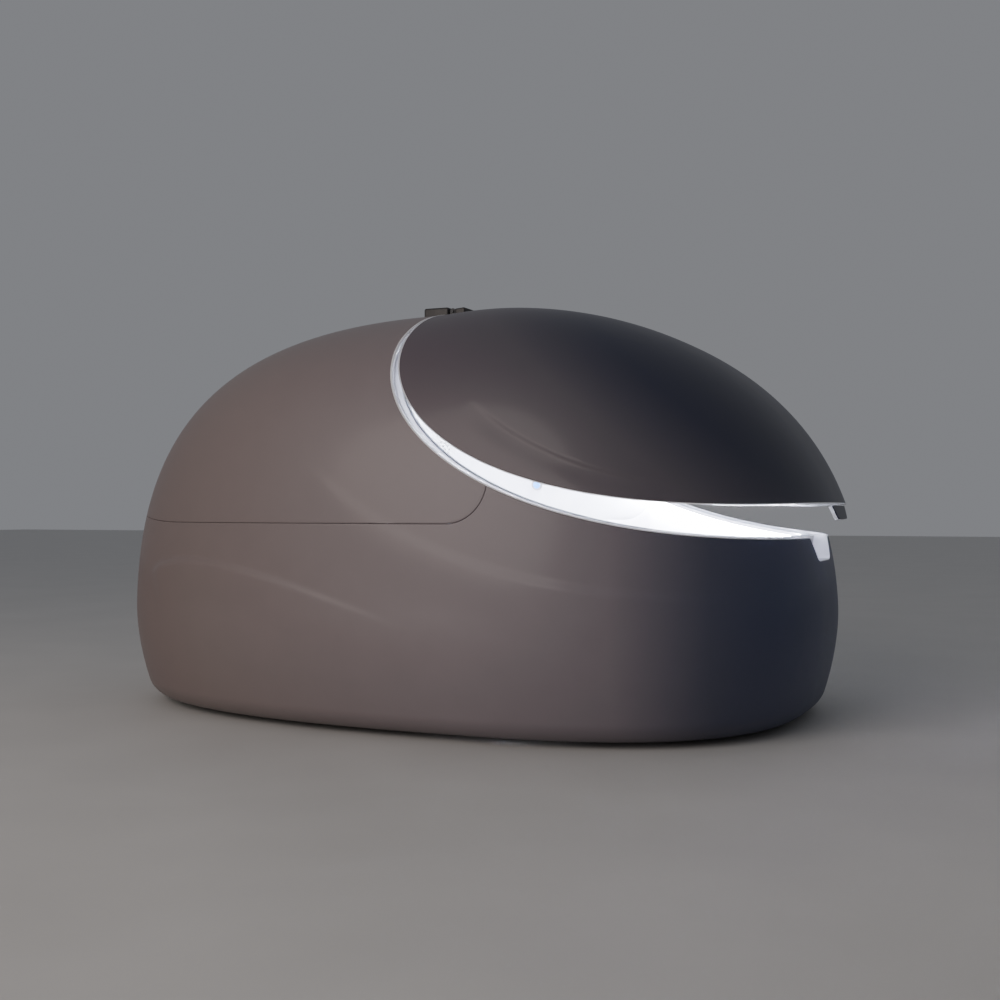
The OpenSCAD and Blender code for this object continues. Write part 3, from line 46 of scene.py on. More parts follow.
def linear(colour):
    """A colour given as sRGB hex, turned to linear light."""
    parts = [int(colour[k:k + 2], 16)/255 for k in (1, 3, 5)]
    return [c/12.92 if c <= 0.04045 else ((c + 0.055)/1.055)**2.4 for c in parts] + [1]


def put_node(tree, kind, settings={}, links={}):
    """Adds a shader node with its properties, socket values and colour stops, and links its
    sockets to outputs, or to the first output of other nodes."""
    made = tree.nodes.new("ShaderNode" + kind)
    for key, value in settings.items():
        if key == "stops":
            band = made.color_ramp.elements
            band.remove(band[1])
            band[0].position, band[0].color = value[0][0], linear(value[0][1])
            for place, colour in value[1:]:
                band.new(place).color = linear(colour)
        elif isinstance(key, str) and hasattr(made, key):
            setattr(made, key, value)
        else:
            made.inputs[key].default_value = value
    for key, source in links.items():
        output = source.outputs[0] if isinstance(source, bpy.types.Node) else source
        tree.links.new(output, made.inputs[key])
    return made


def new_finish(name):
    """An empty material: itself, its node tree, and the Object coordinates to draw it on."""
    material = bpy.data.materials.new(name)
    material.use_nodes = True
    tree = material.node_tree
    tree.nodes.remove(tree.nodes["Principled BSDF"])
    return material, tree, put_node(tree, "TexCoord").outputs["Object"]


def show(tree, shader):
    """Makes a shader the surface of its material."""
    tree.links.new(shader.outputs[0], tree.nodes["Material Output"].inputs["Surface"])


def grained(name, deep, light, rough, metallic=0.0, blotch=0.03, grain=0.0015, relief=0.0002,
            draw=(1, 1, 1), clear=0.0):
    """A finish whose tone and gloss drift over blotches and whose surface has a fine grain.
    blotch, grain and relief are sizes in metres, draw stretches the grain along the axes, and
    clear is the share of light let through."""
    material, tree, place = new_finish(name)
    cloud = put_node(tree, "TexNoise", {"Scale": 1/blotch, "Detail": 4}, {"Vector": place})
    drawn = put_node(tree, "Mapping", {"Scale": draw}, {"Vector": place})
    fine = put_node(tree, "TexNoise", {"Scale": 1/grain, "Detail": 3}, {"Vector": drawn})
    # The two noises add up to about 1, and seldom leave 0.7 to 1.3.
    both = put_node(tree, "Math", {"operation": "ADD"}, {0: cloud, 1: fine})
    tone = put_node(tree, "MapRange", {"From Min": 0.7, "From Max": 1.3}, {"Value": both})
    tint = put_node(tree, "ValToRGB", {"stops": [(0.0, deep), (1.0, light)]}, {"Fac": tone})
    gloss = put_node(tree, "MapRange", {"To Min": rough[0], "To Max": rough[1]}, {"Value": tone})
    bump = put_node(tree, "Bump", {"Strength": 0.6, "Distance": relief}, {"Height": fine})
    base = {"Metallic": metallic, "Transmission Weight": clear}
    show(tree, put_node(tree, "BsdfPrincipled", base,
                        {"Base Color": tint, "Roughness": gloss, "Normal": bump}))
    return material


def dress(material, *nodes):
    """Gives CAD nodes a finish."""
    for name in nodes:
        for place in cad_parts[name].material_slots:
            place.material = material


# Powder coat: baked polyester with a low gloss and a fine leathery texture.
dress(grained("powder_coat_grey", "#5f6266", "#6e7175", (0.42, 0.55), grain=0.0012), "base_frame")
# Rubber: matt, almost black, dusted paler in patches.
dress(grained("moulded_rubber", "#1b1b1c", "#2c2b2a", (0.7, 0.9), blotch=0.02), "levelling_feet")
# Bright zinc plate: cold grey metal with a slight cloudiness.
dress(grained("zinc_plate", "#a9adb0", "#c9ccce", (0.25, 0.4), 1.0, blotch=0.008), "foot_nuts")

# ---- Plant tray, pump and filter ----
# The circulation set on a folded aluminium tray under the tail: a cast pump with a finned motor,
# a moulded cartridge filter with a screw cap, and a plastic control box.

# Mill aluminium: rolled sheet, with faint lines along the pod.
dress(grained("mill_aluminium", "#a7aaad", "#c3c6c8", (0.3, 0.48), 1.0, grain=0.0006,
              draw=(0.05, 1, 1)), "equipment_tray")
# Glass-filled plastic: a matt black moulding with a spark-eroded texture.
black_plastic = grained("glass_filled_plastic", "#202224", "#2e3032", (0.45, 0.6), grain=0.0008)
dress(black_plastic, "pump_volute", "filter_cap")
# Painted casting: thick enamel over sand-cast aluminium, orange-peeled and a little uneven.
dress(grained("motor_enamel", "#2b3b42", "#3a4c54", (0.35, 0.5), grain=0.004, relief=0.0005),
      "pump_motor")
# White ABS: bright moulded plastic with a soft gloss.
white_abs = grained("white_abs", "#dedfdf", "#eceded", (0.28, 0.4), grain=0.001, relief=0.0001)
dress(white_abs, "filter_housing", "pump_impeller")
# Pleated polyester paper: soft, matt and fibrous.
dress(grained("filter_paper", "#c3d2dc", "#dfe8ee", (0.85, 0.95), grain=0.002, relief=0.0006),
      "filter_cartridge")
# Grey polycarbonate: the satin shell of an electrical box.
dress(grained("grey_polycarbonate", "#9c9fa0", "#acafb0", (0.35, 0.5)), "control_box")

# ---- Water line and drain ----
# Flexible white PVC hoses join the suction, pump, filter, lamp, heater and jet; the lamp and
# heater run in stainless vessels. The drain falls through a ball valve to the service plate.

# PVC hose: smooth and slightly waxy.
dress(grained("pvc_hose", "#d6d8d6", "#e6e8e6", (0.35, 0.5), blotch=0.06),
      "water_pipes", "drain_pipes")
# Brushed stainless steel: grey metal drawn along the vessels, its glints spread by the brushing.
stainless = grained("brushed_stainless", "#9a9c9e", "#bdbfc1", (0.22, 0.38), 1.0, grain=0.0005,
                    draw=(0.06, 1, 1))
dress(stainless, "uv_vessel", "heater_vessel")
# Quartz glass: clear, with a violet tint from the tube inside.
dress(grained("quartz_lamp_glass", "#cfd0ee", "#e4e5fb", (0.05, 0.12), blotch=0.05, clear=0.6),
      "uv_lamp")
# Incoloy heater sheath: dark oxidised metal, browned by heat.
dress(grained("oxidised_heater_sheath", "#43302b", "#5d4840", (0.4, 0.6), 1.0), "heater_element")
dress(black_plastic, "drain_valve", "drain_outlet", "power_gland")
# Red vinyl dip: the soft glossy coat on a valve lever.
dress(grained("red_vinyl_dip", "#9e1c1e", "#b62728", (0.3, 0.42)), "drain_lever")
# Anodised aluminium sheet: pale satin metal.
dress(grained("anodised_aluminium", "#b9bcbe", "#cfd2d3", (0.35, 0.45), 1.0, grain=0.0006),
      "service_plate")

# ---- Lower shell ----
# The outer wall below the seam and the rim, laid up in glass fibre in one mould and sprayed
# with a pearl gelcoat. Its colour, warm taupe at the tail running to slate blue at the nose, is
# painted light and shade, not the gelcoat's own. Two shallow creases are pressed into each side,
# and a recess for the fingers into the nose.

# The egg: it is widest at the girth, leans a little as it rises, and is tucked in below to a
# rounded hem.
pod_len = 2.450
pod_w = 1.700
floor_gap = 0.015
crown_z = 1.305
crown_x = 0.100
crown_lean = 2.5
girth_z = 0.255
girth_x = 0.280
tuck = 0.065
tuck_z = 0.360
tuck_n = 2.0
hem_r = 0.060
# Powers of its superellipses, from the side, from the end, and from above at the tail and nose
side_n = 2.4
end_n = 3.4
tail_n = 2.4
nose_n = 2.6
# The rim, where the lid parts from the pod: level at the nose, and steep at the crown, which it
# reaches in a straight run past the share called upright.
rim_front_z = 0.575
rim_turn_z = 1.185
rim_back_x = 0.042
rim_crown_x = 0.052
rim_centre_x = 1.250
rim_n = 2.1
upright = 0.9
# The seam between shell and hood: it climbs behind its foot, and turns up into the rim.
seam_z = 0.625
seam_climb = 0.042
seam_r = 0.120
seam_gap = 0.0008
seam_foot_x = -0.720
seam_turn_x = 0.300
# The skins' thickness, edge radius, and height of their edges above the rim
skin_t = 0.006
skin_lip = 0.002
skin_off = 0.0022
# How finely lines are searched, how closely places are probed, the least half width of the egg,
# and what keeps a length off nought
samples = 40001
probe = 0.0005
least = 1e-5
tiny = 1e-9
tail_len = pod_len/2 + girth_x
nose_len = pod_len/2 - girth_x
hem_z = floor_gap + hem_r


def rise(z):
    """Share of the way from the girth up to the crown."""
    return np.clip((z - girth_z)/(crown_z - girth_z), 0, 1)


def bow(u, n):
    """Height of a superellipse of power n at share u of its half width."""
    return np.maximum(0, 1 - u**n)**(1/n)


def drawn_in(z):
    """How far the wall stands inside the girth below it, with the turn of the lower edge."""
    sunk = np.clip((tuck_z - z)/(tuck_z - floor_gap), 0, 1)
    turn = hem_r - np.sqrt(np.maximum(0, hem_r**2 - np.maximum(0, hem_z - z)**2))
    return tuck*sunk**tuck_n + turn


def mid_x(z):
    """Where the egg's middle lies along the pod, leaning back as it rises."""
    return girth_x + (crown_x - girth_x)*rise(z)**crown_lean


def reach(z, towards):
    """How far the egg reaches from its middle, towards the nose (positive) or the tail."""
    longest = np.where(towards > 0, nose_len, tail_len)
    return np.maximum(least, longest*bow(rise(z), side_n) - drawn_in(z))


def half_w(z):
    """Half the egg's width."""
    return np.maximum(least, pod_w/2*bow(rise(z), end_n) - drawn_in(z))


def share(x, z):
    """Share of the egg's reach at a place of the side view: -1 at the tail, 1 at the nose."""
    return (x - mid_x(z))/reach(z, x - mid_x(z))


def plan_n(q):
    """Power of the plan's superellipse at share q of the reach."""
    return np.where(q > 0, nose_n, tail_n)


def on_egg(q, side, z):
    """Points of the egg at share q of its reach, on the near (-1) or far (1) side."""
    y = side*half_w(z)*bow(np.minimum(1, np.abs(q)), plan_n(q))
    return np.stack([mid_x(z) + q*reach(z, q), y, z], axis=-1)


def on_side(flat, side):
    """Points of the egg above places of the side view, on the middle plane where side is 0."""
    point = on_egg(share(flat[..., 0], flat[..., 1]), side, flat[..., 1])
    point[..., 0] = flat[..., 0]
    return point


def level(p):
    """A measure of how far out points lie in the plan: 1 on the egg."""
    q = share(p[..., 0], p[..., 2])
    n = plan_n(q)
    return np.abs(q)**n + (np.abs(p[..., 1])/half_w(p[..., 2]))**n


def unit(v):
    """Vectors drawn out or in to length 1."""
    return v/np.maximum(tiny, np.linalg.norm(v, axis=-1, keepdims=True))


def outward(p):
    """Direction away from the egg at points near its skin."""
    out = np.stack([level(p + step) - level(p - step) for step in probe*np.eye(3)], axis=-1)
    out[p[..., 2] > crown_z - probe] = (0, 0, 1)
    return unit(out)


def outline(a):
    """The middle plane's outline as x, z: 0 at the nose's girth, a quarter turn at the crown."""
    z = girth_z + (crown_z - girth_z)*np.sin(a)**(2/side_n)
    x = np.where(a < pi/2, nose_len, -tail_len)*np.abs(np.cos(a))**(2/side_n)
    return np.stack([mid_x(z) + x, z], axis=-1)


def outline_angle(z):
    """The outline's angle at a height, on the side of the nose."""
    return np.arcsin(rise(z)**(side_n/2))


def rim(s, off):
    """The rim in the side view, from the nose at s = 0 to the crown at 1, moved off upwards."""
    across = rim_centre_x - rim_back_x - off
    up = rim_turn_z - rim_front_z - off
    tip_x = outline(outline_angle(rim_front_z + off))[0]
    first = np.arcsin(((rim_centre_x - tip_x)/across)**(rim_n/2))
    a = first + (pi/2 - first)*np.minimum(1, s/upright)
    t = np.maximum(0, (s - upright)/(1 - upright))
    x = rim_centre_x - across*np.sin(a)**(2/rim_n) + t*(rim_crown_x - rim_back_x)
    z = rim_turn_z - up*np.maximum(0, np.cos(a))**(2/rim_n) + t*(crown_z - rim_turn_z)
    return np.stack([x, z], axis=-1)


def rim_ends(off):
    """Shares of the rim at which it comes out at the nose and at the crown."""
    s = np.linspace(0, 1, samples)
    line = rim(s, off)
    return s[np.abs(share(line[:, 0], line[:, 1])) < 1][[0, -1]]


def slow_start(steps, low, high):
    """Numbers from low to high, close together at the low end."""
    return low + (high - low)*(1 - np.cos(pi/2*np.arange(steps + 1)/steps))


def seam_meets_rim(r, off):
    """Share of the rim at which the seam's corner, of radius r, runs into it."""
    s = np.linspace(0.1, upright, samples)
    line = rim(s, off)
    away = np.linalg.norm(line - (seam_turn_x, seam_z + seam_r), axis=-1)
    return s[np.argmin(np.abs(away - r) + (line[:, 0] < seam_turn_x))]


def seam(lift, off, steps):
    """The seam in the side view from the tail to the rim moved by off, moved up by lift."""
    tail_x = outline(pi - outline_angle(seam_z + seam_climb + lift))[0]
    lowest_x = outline(pi - outline_angle(seam_z + seam_climb))[0]
    x = slow_start(steps, tail_x, seam_turn_x)
    climb = np.clip((seam_foot_x - x)/(seam_foot_x - lowest_x), 0, 1)**2
    run = np.stack([x, seam_z + seam_climb*climb + lift], axis=-1)
    centre = np.array([seam_turn_x, seam_z + seam_r])
    r = seam_r - lift
    turn = acos((centre[1] - rim(seam_meets_rim(r, off), off)[1])/r)
    a = np.linspace(0, turn, steps//8 + 1)[1:-1]
    return np.concatenate([run, centre + r*np.stack([np.sin(a), -np.cos(a)], axis=-1)])


def shell_edge(steps, off, gap):
    """Upper edge of the shell or of the bath in the side view, from tail to nose."""
    met = seam_meets_rim(seam_r + gap/2, off)
    up_the_rim = rim(slow_start(steps, rim_ends(off)[0], met)[::-1], off)
    return np.concatenate([seam(-gap/2, off, steps), up_the_rim])


def round_the_pod(line):
    """Repeats the points of an edge back to its start, with the side that each lies on."""
    side = np.full(len(line), -1.0)
    side[[0, -1]] = 0
    return np.concatenate([line, line[-2::-1]]), np.concatenate([side, -side[-2::-1]])


def smooth(t):
    """Rises from 0 to 1 with soft ends."""
    t = np.clip(t, 0, 1)
    return t*t*(3 - 2*t)


def near_course(face, course):
    """For each point of a face, how far it is above a Bezier course in the side view, and at
    what share of the course's length."""
    t = np.linspace(0, 1, 49)
    n = len(course) - 1
    line = sum(comb(n, k)*np.outer(t**k*(1 - t)**(n - k), p) for k, p in enumerate(course))
    step = np.diff(line, axis=0)
    length = np.linalg.norm(step, axis=1)
    nearest = np.full(face.shape[:2], np.inf)
    above = np.zeros(face.shape[:2])
    along = np.zeros(face.shape[:2])
    for k in range(len(step)):
        d = face[..., [0, 2]] - line[k]
        u = np.clip(d @ step[k]/length[k]**2, 0, 1)
        away = np.linalg.norm(d - u[..., None]*step[k], axis=-1)
        over = (step[k][0]*d[..., 1] - step[k][1]*d[..., 0])/length[k]
        nearer = away < nearest
        nearest = np.where(nearer, away, nearest)
        above = np.where(nearer, over, above)
        along = np.where(nearer, (k + u)/len(step), along)
    return above, along


def crease(face, course, width, depth, fade, starts, stops):
    """Height of a pressed ledge below a course: it grows over a share of its length, dies away
    over another, and fades into the wall below."""
    above, along = near_course(face, course)
    ends = smooth(along/starts)*smooth((1 - along)/stops)
    ledge = smooth(0.5 - above/width)
    return depth*ends*ledge*(1 - smooth((-above - width/2)/fade))


def grid_piece(name, points):
    """A grid primitive whose vertices are set to points, with its seams, poles and ends closed."""
    rows, columns = points.shape[:2]
    bpy.ops.object.select_all(action="DESELECT")
    bpy.ops.mesh.primitive_grid_add(x_subdivisions=columns - 1, y_subdivisions=rows - 1)
    piece = bpy.context.object
    piece.name = name
    piece.data.name = name
    piece.data.vertices.foreach_set("co", points.ravel())
    bpy.ops.object.mode_set(mode="EDIT")
    bpy.ops.mesh.select_all(action="SELECT")
    bpy.ops.mesh.remove_doubles(threshold=1e-6)
    bpy.ops.mesh.delete_loose()
    bpy.ops.mesh.select_all(action="SELECT")
    bpy.ops.mesh.fill_holes(sides=0)
    bpy.ops.mesh.normals_make_consistent(inside=False)
    if bmesh.from_edit_mesh(piece.data).calc_volume(signed=True) < 0:
        bpy.ops.mesh.flip_normals()
    bpy.ops.object.mode_set(mode="OBJECT")
    bpy.ops.object.shade_smooth_by_angle(angle=radians(40))
    return piece


def wall(name, face, out, thickness, lip, back_rows=10):
    """A closed wall: a fine face, edges rounded to radius lip where the face's first step leaves
    room, and a coarser back."""

    def rounding(end, inner):
        edge = face[:, end]
        along = face[:, inner] - edge
        length = np.linalg.norm(along, axis=-1, keepdims=True)
        r = np.minimum(lip, 0.45*length)
        along = along/np.maximum(length, tiny)
        turns = [edge + r*(1 - cos(a))*along - r*(1 - sin(a))*out[:, end]
                 for a in (0, pi/6, pi/3, pi/2)]
        return [edge - thickness*out[:, end], *turns]

    last = face.shape[1] - 1
    back = np.linspace(last, 0, back_rows).round().astype(int)[1:-1]
    loop = [*rounding(0, 1), *face[:, 1:-1].swapaxes(0, 1), *rounding(last, last - 1)[::-1],
            *(face - thickness*out)[:, back].swapaxes(0, 1)]
    return grid_piece(name, np.stack(loop + loop[:1], axis=1))


def skin(name, face, creases, back_rows=10):
    """A gelcoated skin of the egg, with creases pressed into it."""
    out = outward(face)
    pressed = sum(crease(face, *form) for form in creases)
    return wall(name, face + pressed[..., None]*out, out, skin_t, skin_lip, back_rows)


def block(name, low, high):
    """A cube primitive of the given corners, ready to be shaped."""
    low, high = Vector(low), Vector(high)
    bpy.ops.object.select_all(action="DESELECT")
    bpy.ops.mesh.primitive_cube_add(size=1, location=(low + high)/2, scale=high - low)
    bpy.ops.object.transform_apply(location=True, rotation=True, scale=True)
    piece = bpy.context.object
    piece.name = name
    piece.data.name = name
    return piece


def round_edges(piece, wanted, radius, steps):
    """Bevels the edges whose two ends satisfy wanted."""
    bpy.ops.object.select_all(action="DESELECT")
    bpy.context.view_layer.objects.active = piece
    piece.select_set(True)
    bpy.ops.object.mode_set(mode="EDIT")
    bpy.ops.mesh.select_mode(type="EDGE")
    bpy.ops.mesh.select_all(action="DESELECT")
    bpy.ops.object.mode_set(mode="OBJECT")
    spots = [v.co for v in piece.data.vertices]
    for edge in piece.data.edges:
        edge.select = wanted(*[spots[k] for k in edge.vertices])
    bpy.ops.object.mode_set(mode="EDIT")
    bpy.ops.mesh.bevel(offset=radius, segments=steps)
    bpy.ops.object.mode_set(mode="OBJECT")


def cut(piece, cutter, operation="DIFFERENCE"):
    """Cuts a piece with another, as a router does, and throws the cutter away."""
    bpy.ops.object.select_all(action="DESELECT")
    bpy.context.view_layer.objects.active = piece
    piece.select_set(True)
    tool = piece.modifiers.new("cut", "BOOLEAN")
    tool.operation = operation
    tool.solver = "MANIFOLD"
    tool.object = cutter
    bpy.ops.object.modifier_apply(modifier=tool.name)
    bpy.ops.object.shade_smooth_by_angle(angle=radians(35))
    bpy.data.objects.remove(cutter)


def fit(piece, material, body, replaced):
    """Paints a piece, hangs it on its body, and lets it stand for its CAD nodes."""
    piece.data.materials.clear()
    piece.data.materials.append(material)
    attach(piece, body)
    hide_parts(*replaced)


# Pearl gelcoat on polished glass fibre: a soft satin pigment under a thin clear coat, mottled over
# 90 mm and faintly wavy from the mould over 12 mm. Its colour is painted light and shade: it
# changes along the pod and, by climb, up towards the crown.
def pearl_gelcoat(name, stops, climb=0.0):
    material, tree, place = new_finish(name)
    # Painted light and shade: the colour is laid along the pod and, by climb, up towards the crown.
    split = put_node(tree, "SeparateXYZ", links={"Vector": place})
    lift = put_node(tree, "Math", {"operation": "MULTIPLY", 1: climb}, {0: split.outputs["Z"]})
    both = put_node(tree, "Math", {"operation": "ADD"}, {0: split.outputs["X"], 1: lift})
    painted_light_drift = put_node(tree, "MapRange", {"From Min": -pod_len/2, "From Max": pod_len/2 + climb},
                     {"Value": both})
    tint = put_node(tree, "ValToRGB", {"stops": stops}, {"Fac": painted_light_drift})
    mottle = put_node(tree, "TexNoise", {"Scale": 1/0.09, "Detail": 3}, {"Vector": place})
    shade = put_node(tree, "MapRange", {"To Min": 0.96, "To Max": 1.04}, {"Value": mottle})
    shaded = put_node(tree, "VectorMath", {"operation": "SCALE"}, {"Vector": tint, "Scale": shade})
    rough = put_node(tree, "MapRange", {"To Min": 0.47, "To Max": 0.53}, {"Value": mottle})
    peel = put_node(tree, "TexNoise", {"Scale": 1/0.012, "Detail": 2}, {"Vector": place})
    bump = put_node(tree, "Bump", {"Strength": 0.05, "Distance": 0.0004}, {"Height": peel})
    show(tree, put_node(tree, "BsdfPrincipled", {"Coat Weight": 0.2, "Coat Roughness": 0.16},
                        {"Base Color": shaded, "Roughness": rough, "Normal": bump}))
    return material


# Painted light: warm taupe where the light falls at the tail, running to dark slate blue in the
# shade at the nose.
shell_painted_light_stops = [(0.0, "#6a5854"), (0.25, "#756967"), (0.62, "#7a7175"), (0.81, "#6f686f"),
               (0.91, "#404254"), (1.0, "#253054")]
pearl = pearl_gelcoat("pearl_gelcoat_shell_painted_light", shell_painted_light_stops)

# Each crease: its course in the side view, the ledge's width and height, how far below it fades
# out, and the shares of its length over which it grows and dies away. A negative height is
# pressed inwards.
upper_course = [(-0.355, 0.960), (0.025, 0.635), (0.195, 0.500), (0.830, 0.390), (1.170, 0.435)]
lower_course = [(-0.910, 0.450), (-0.650, 0.620), (-0.005, 0.370), (0.255, 0.310)]
upper_crease = (upper_course, 0.030, 0.006, 0.170, 0.60, 0.30)
lower_crease = (lower_course, 0.024, 0.011, 0.150, 0.10, 0.95)

shell_rows = 92
hem_rows = 12
edge_line, edge_side = round_the_pod(shell_edge(104, skin_off, seam_gap))
column_q = share(edge_line[:, 0], edge_line[:, 1])
column_q[edge_side == 0] = np.sign(column_q[edge_side == 0])
down = np.linspace(0, 1, shell_rows)[:, None]
straight = edge_line[:, 1] + down*(hem_z - edge_line[:, 1])
under = floor_gap + hem_r*(1 - np.sin(pi/2*np.arange(1, hem_rows + 1)/hem_rows))
wall_z = np.concatenate([straight, np.repeat(under[:, None], len(edge_line), axis=1)]).T
shell_face = on_egg(column_q[:, None], edge_side[:, None], wall_z)
lower_skin = skin("lower_skin", shell_face, [upper_crease, lower_crease])

# The finger recess below the lip of the rim moulding, the bond that glued pieces leave between
# them, and how far a cutting block stands above what it cuts
rim_lip = 0.0072
recess_top_w = 0.300
recess_low_w = 0.200
recess_h = 0.072
recess_d = 0.044
recess_r = 0.018
grip_wall = 0.004
bond = 0.0002
overshoot = 0.05
tip_x = outline(outline_angle(rim_front_z + rim_lip))[0]


def recess(name, grow, front, up):
    """A tapered block with round lower corners: the finger recess grown all round, carried on
    to the front and up above its top."""
    top = rim_front_z + rim_lip
    low = top - recess_h - grow
    slope = (recess_top_w - recess_low_w)/2/recess_h
    half_low = recess_low_w/2 + grow - slope*grow
    half_top = recess_top_w/2 + grow + slope*up
    piece = block(name, (tip_x - recess_d - grow, -half_top, low), (front, half_top, top + up))
    for corner in piece.data.vertices:
        if corner.co.z < low + probe:
            corner.co.y *= half_low/half_top
    round_edges(piece, lambda a, b: max(a.z, b.z) < low + probe and a.y*b.y > 0, recess_r + grow, 6)
    return piece


cut(lower_skin, recess("notch", grip_wall + bond, tip_x + hem_r, overshoot))
fit(lower_skin, pearl, "pod", ["lower_shell"])

# ---- Bath ----
# The inner tub that holds the brine: white gelcoated glass fibre, bonded behind the shell below
# the seam and the rim. Its walls sweep round into a flat floor, and it is bored for the fittings.
lining_off = -0.012
liner_t = 0.006
liner_lip = 0.001
wet_depth = 0.066
pool_z = 0.165
pool_tail_x = -0.680
pool_nose_x = 0.850
pool_half = 0.500
# Share of the wall over which its top is moved into the cut, and a point inside the cabin
brim_share = 0.35
cabin_middle = np.array([0.1, 0, 0.7])
# Rows of points down the wall and across the floor
wall_rows = 45
floor_rows = 8
# Radii and places of the fittings; each share is how far down the wall a fitting sits.
jet_r = 0.030
suction_r = 0.046
end_share = 0.62
lamp_r = 0.046
lamp_x = 0.420
lamp_share = 0.42
drain_r = 0.028
drain_x = -0.450
drill_len = 0.060
# Share of the wall between two places that give its slope
nudge = 0.01


def run_of(line):
    """Directions along an edge in the side view, kept off nought where it turns back."""
    return np.gradient(line, axis=0) + (tiny, 0)


def in_cut(out, run):
    """Outward directions laid into the cut between shell and lid, which follows run in the side
    view."""
    across = unit(np.stack([-run[..., 1], 0*run[..., 0], run[..., 0]], axis=-1))
    return unit(out - np.sum(out*across, axis=-1, keepdims=True)*across)


def bath_walls(brim, side, t):
    """The bath's wet face below points of the brim, at shares t of the way down to the floor."""
    q = share(brim[:, 0], brim[:, 1])
    q = np.where(side == 0, np.sign(q), q)
    top = on_side(brim, side)
    top = (top - wet_depth*outward(top))[:, None]
    length = np.where(q > 0, pool_nose_x - girth_x, girth_x - pool_tail_x)
    foot = np.stack([girth_x + q*length, side*pool_half*bow(np.minimum(1, np.abs(q)), plan_n(q)),
                     np.full_like(q, pool_z)], axis=-1)[:, None]
    across = (1 - np.cos(pi/2*t))[None, :, None]
    walls = top*(1 - across) + foot*across
    walls[..., 2] = top[..., 2] + (pool_z - top[..., 2])*np.sin(pi/2*t)
    return walls


def facing(face, centre):
    """Normals of a grid of points, turned towards a point in the cabin."""
    along = np.gradient(face, axis=0)
    along[0] = along[-1] = face[1] - face[-2]
    out = unit(np.cross(along, np.gradient(face, axis=1)))
    return out*np.sign(np.sum(out*(centre - face), axis=-1, keepdims=True))


# White gelcoat, as on baths: a smooth hard gloss, a trace of blue in the white that drifts over
# 50 mm, and faint polishing waves of 8 mm.
white, tree, place = new_finish("white_gelcoat")
mottle = put_node(tree, "TexNoise", {"Scale": 1/0.05, "Detail": 2}, {"Vector": place})
tint = put_node(tree, "ValToRGB", {"stops": [(0.3, "#ecedf3"), (0.7, "#f4f4f8")]}, {"Fac": mottle})
rough = put_node(tree, "MapRange", {"To Min": 0.16, "To Max": 0.26}, {"Value": mottle})
peel = put_node(tree, "TexNoise", {"Scale": 1/0.008, "Detail": 2}, {"Vector": place})
bump = put_node(tree, "Bump", {"Strength": 0.04, "Distance": 0.0004}, {"Height": peel})
show(tree, put_node(tree, "BsdfPrincipled", {"Coat Weight": 0.3, "Coat Roughness": 0.08},
                    {"Base Color": tint, "Roughness": rough, "Normal": bump}))

# Towards the brim the walls are moved so that the brim itself lies in the cut.
brim, brim_side = round_the_pod(shell_edge(56, lining_off, 0))
down = np.linspace(0, 1, wall_rows)
walls = bath_walls(brim, brim_side, down)
brim_out = outward(on_side(brim, brim_side))
moved = wet_depth*(brim_out - in_cut(brim_out, run_of(brim)))
walls += moved[:, None]*(1 - smooth(down/brim_share))[None, :, None]
inwards = np.arange(1, floor_rows + 1)[None, :, None]/floor_rows
bottom = walls[:, -1:]*(1 - inwards) + np.array([girth_x, 0, pool_z])*inwards
wet = np.concatenate([walls, bottom], axis=1)
bath_in = facing(wet, cabin_middle)
bath_in[:, -1] = (0, 0, 1)
bath = wall("bath", wet, bath_in, liner_t, liner_lip, back_rows=20)


def drill(piece, spot, direction, fitting_r):
    """Bores a round hole through a wall for a fitting of the given radius."""
    bpy.ops.object.select_all(action="DESELECT")
    turn = Vector(direction).to_track_quat("Z", "Y").to_euler()
    bpy.ops.mesh.primitive_cylinder_add(vertices=64, radius=fitting_r + bond, depth=drill_len,
                                        location=spot, rotation=turn)
    cut(piece, bpy.context.object)


def end_spot(end, t):
    """A point of the bath's end wall on the middle plane, and the way through the wall there."""
    line = shell_edge(8, lining_off, 0)[[0 if end < 0 else -1]]
    spots = bath_walls(line, np.zeros(1), np.array([t, t + nudge]))[0]
    run = spots[1] - spots[0]
    return spots[0], (-run[2]*end, 0, run[0]*end)


def side_spot(x, side, t):
    """A point of the bath's side wall, and the way through the wall there."""
    line = rim(np.linspace(0, upright, 4001), lining_off)
    nearest = np.argmin(np.abs(line[:, 0] - x))
    spots = bath_walls(line[[nearest, nearest + 20]], np.full(2, side), np.array([t, t + nudge]))
    return spots[0, 0], np.cross(spots[1, 0] - spots[0, 0], spots[0, 1] - spots[0, 0])


drill(bath, *end_spot(1, end_share), jet_r)
drill(bath, *end_spot(-1, end_share), suction_r)
for side in (-1.0, 1.0):
    drill(bath, *side_spot(lamp_x, side, lamp_share), lamp_r)
drill(bath, (drain_x, 0, pool_z), (0, 0, 1), drain_r)
fit(bath, white, "pod", ["bath_tub"])
dress(stainless, "suction_fitting", "return_jet", "pool_drain", "pool_lamps")


# Milky plastic lit from behind: the glow is a little stronger in some places than in others.
def lit_plastic(name, deep, light, roughness, power):
    material, tree, place = new_finish(name)
    cloud = put_node(tree, "TexNoise", {"Scale": 1/0.02}, {"Vector": place})
    tint = put_node(tree, "ValToRGB", {"stops": [(0.3, deep), (0.7, light)]}, {"Fac": cloud})
    gloss = put_node(tree, "MapRange", {"To Min": roughness - 0.05, "To Max": roughness + 0.05},
                     {"Value": cloud})
    show(tree, put_node(tree, "BsdfPrincipled", {"Emission Strength": power},
                        {"Base Color": tint, "Emission Color": tint, "Roughness": gloss}))
    return material


# Opal polycarbonate lenses over cool white lamps.
dress(lit_plastic("opal_polycarbonate", "#eef3fd", "#f8faff", 0.3, 6.0), "lamp_lenses")

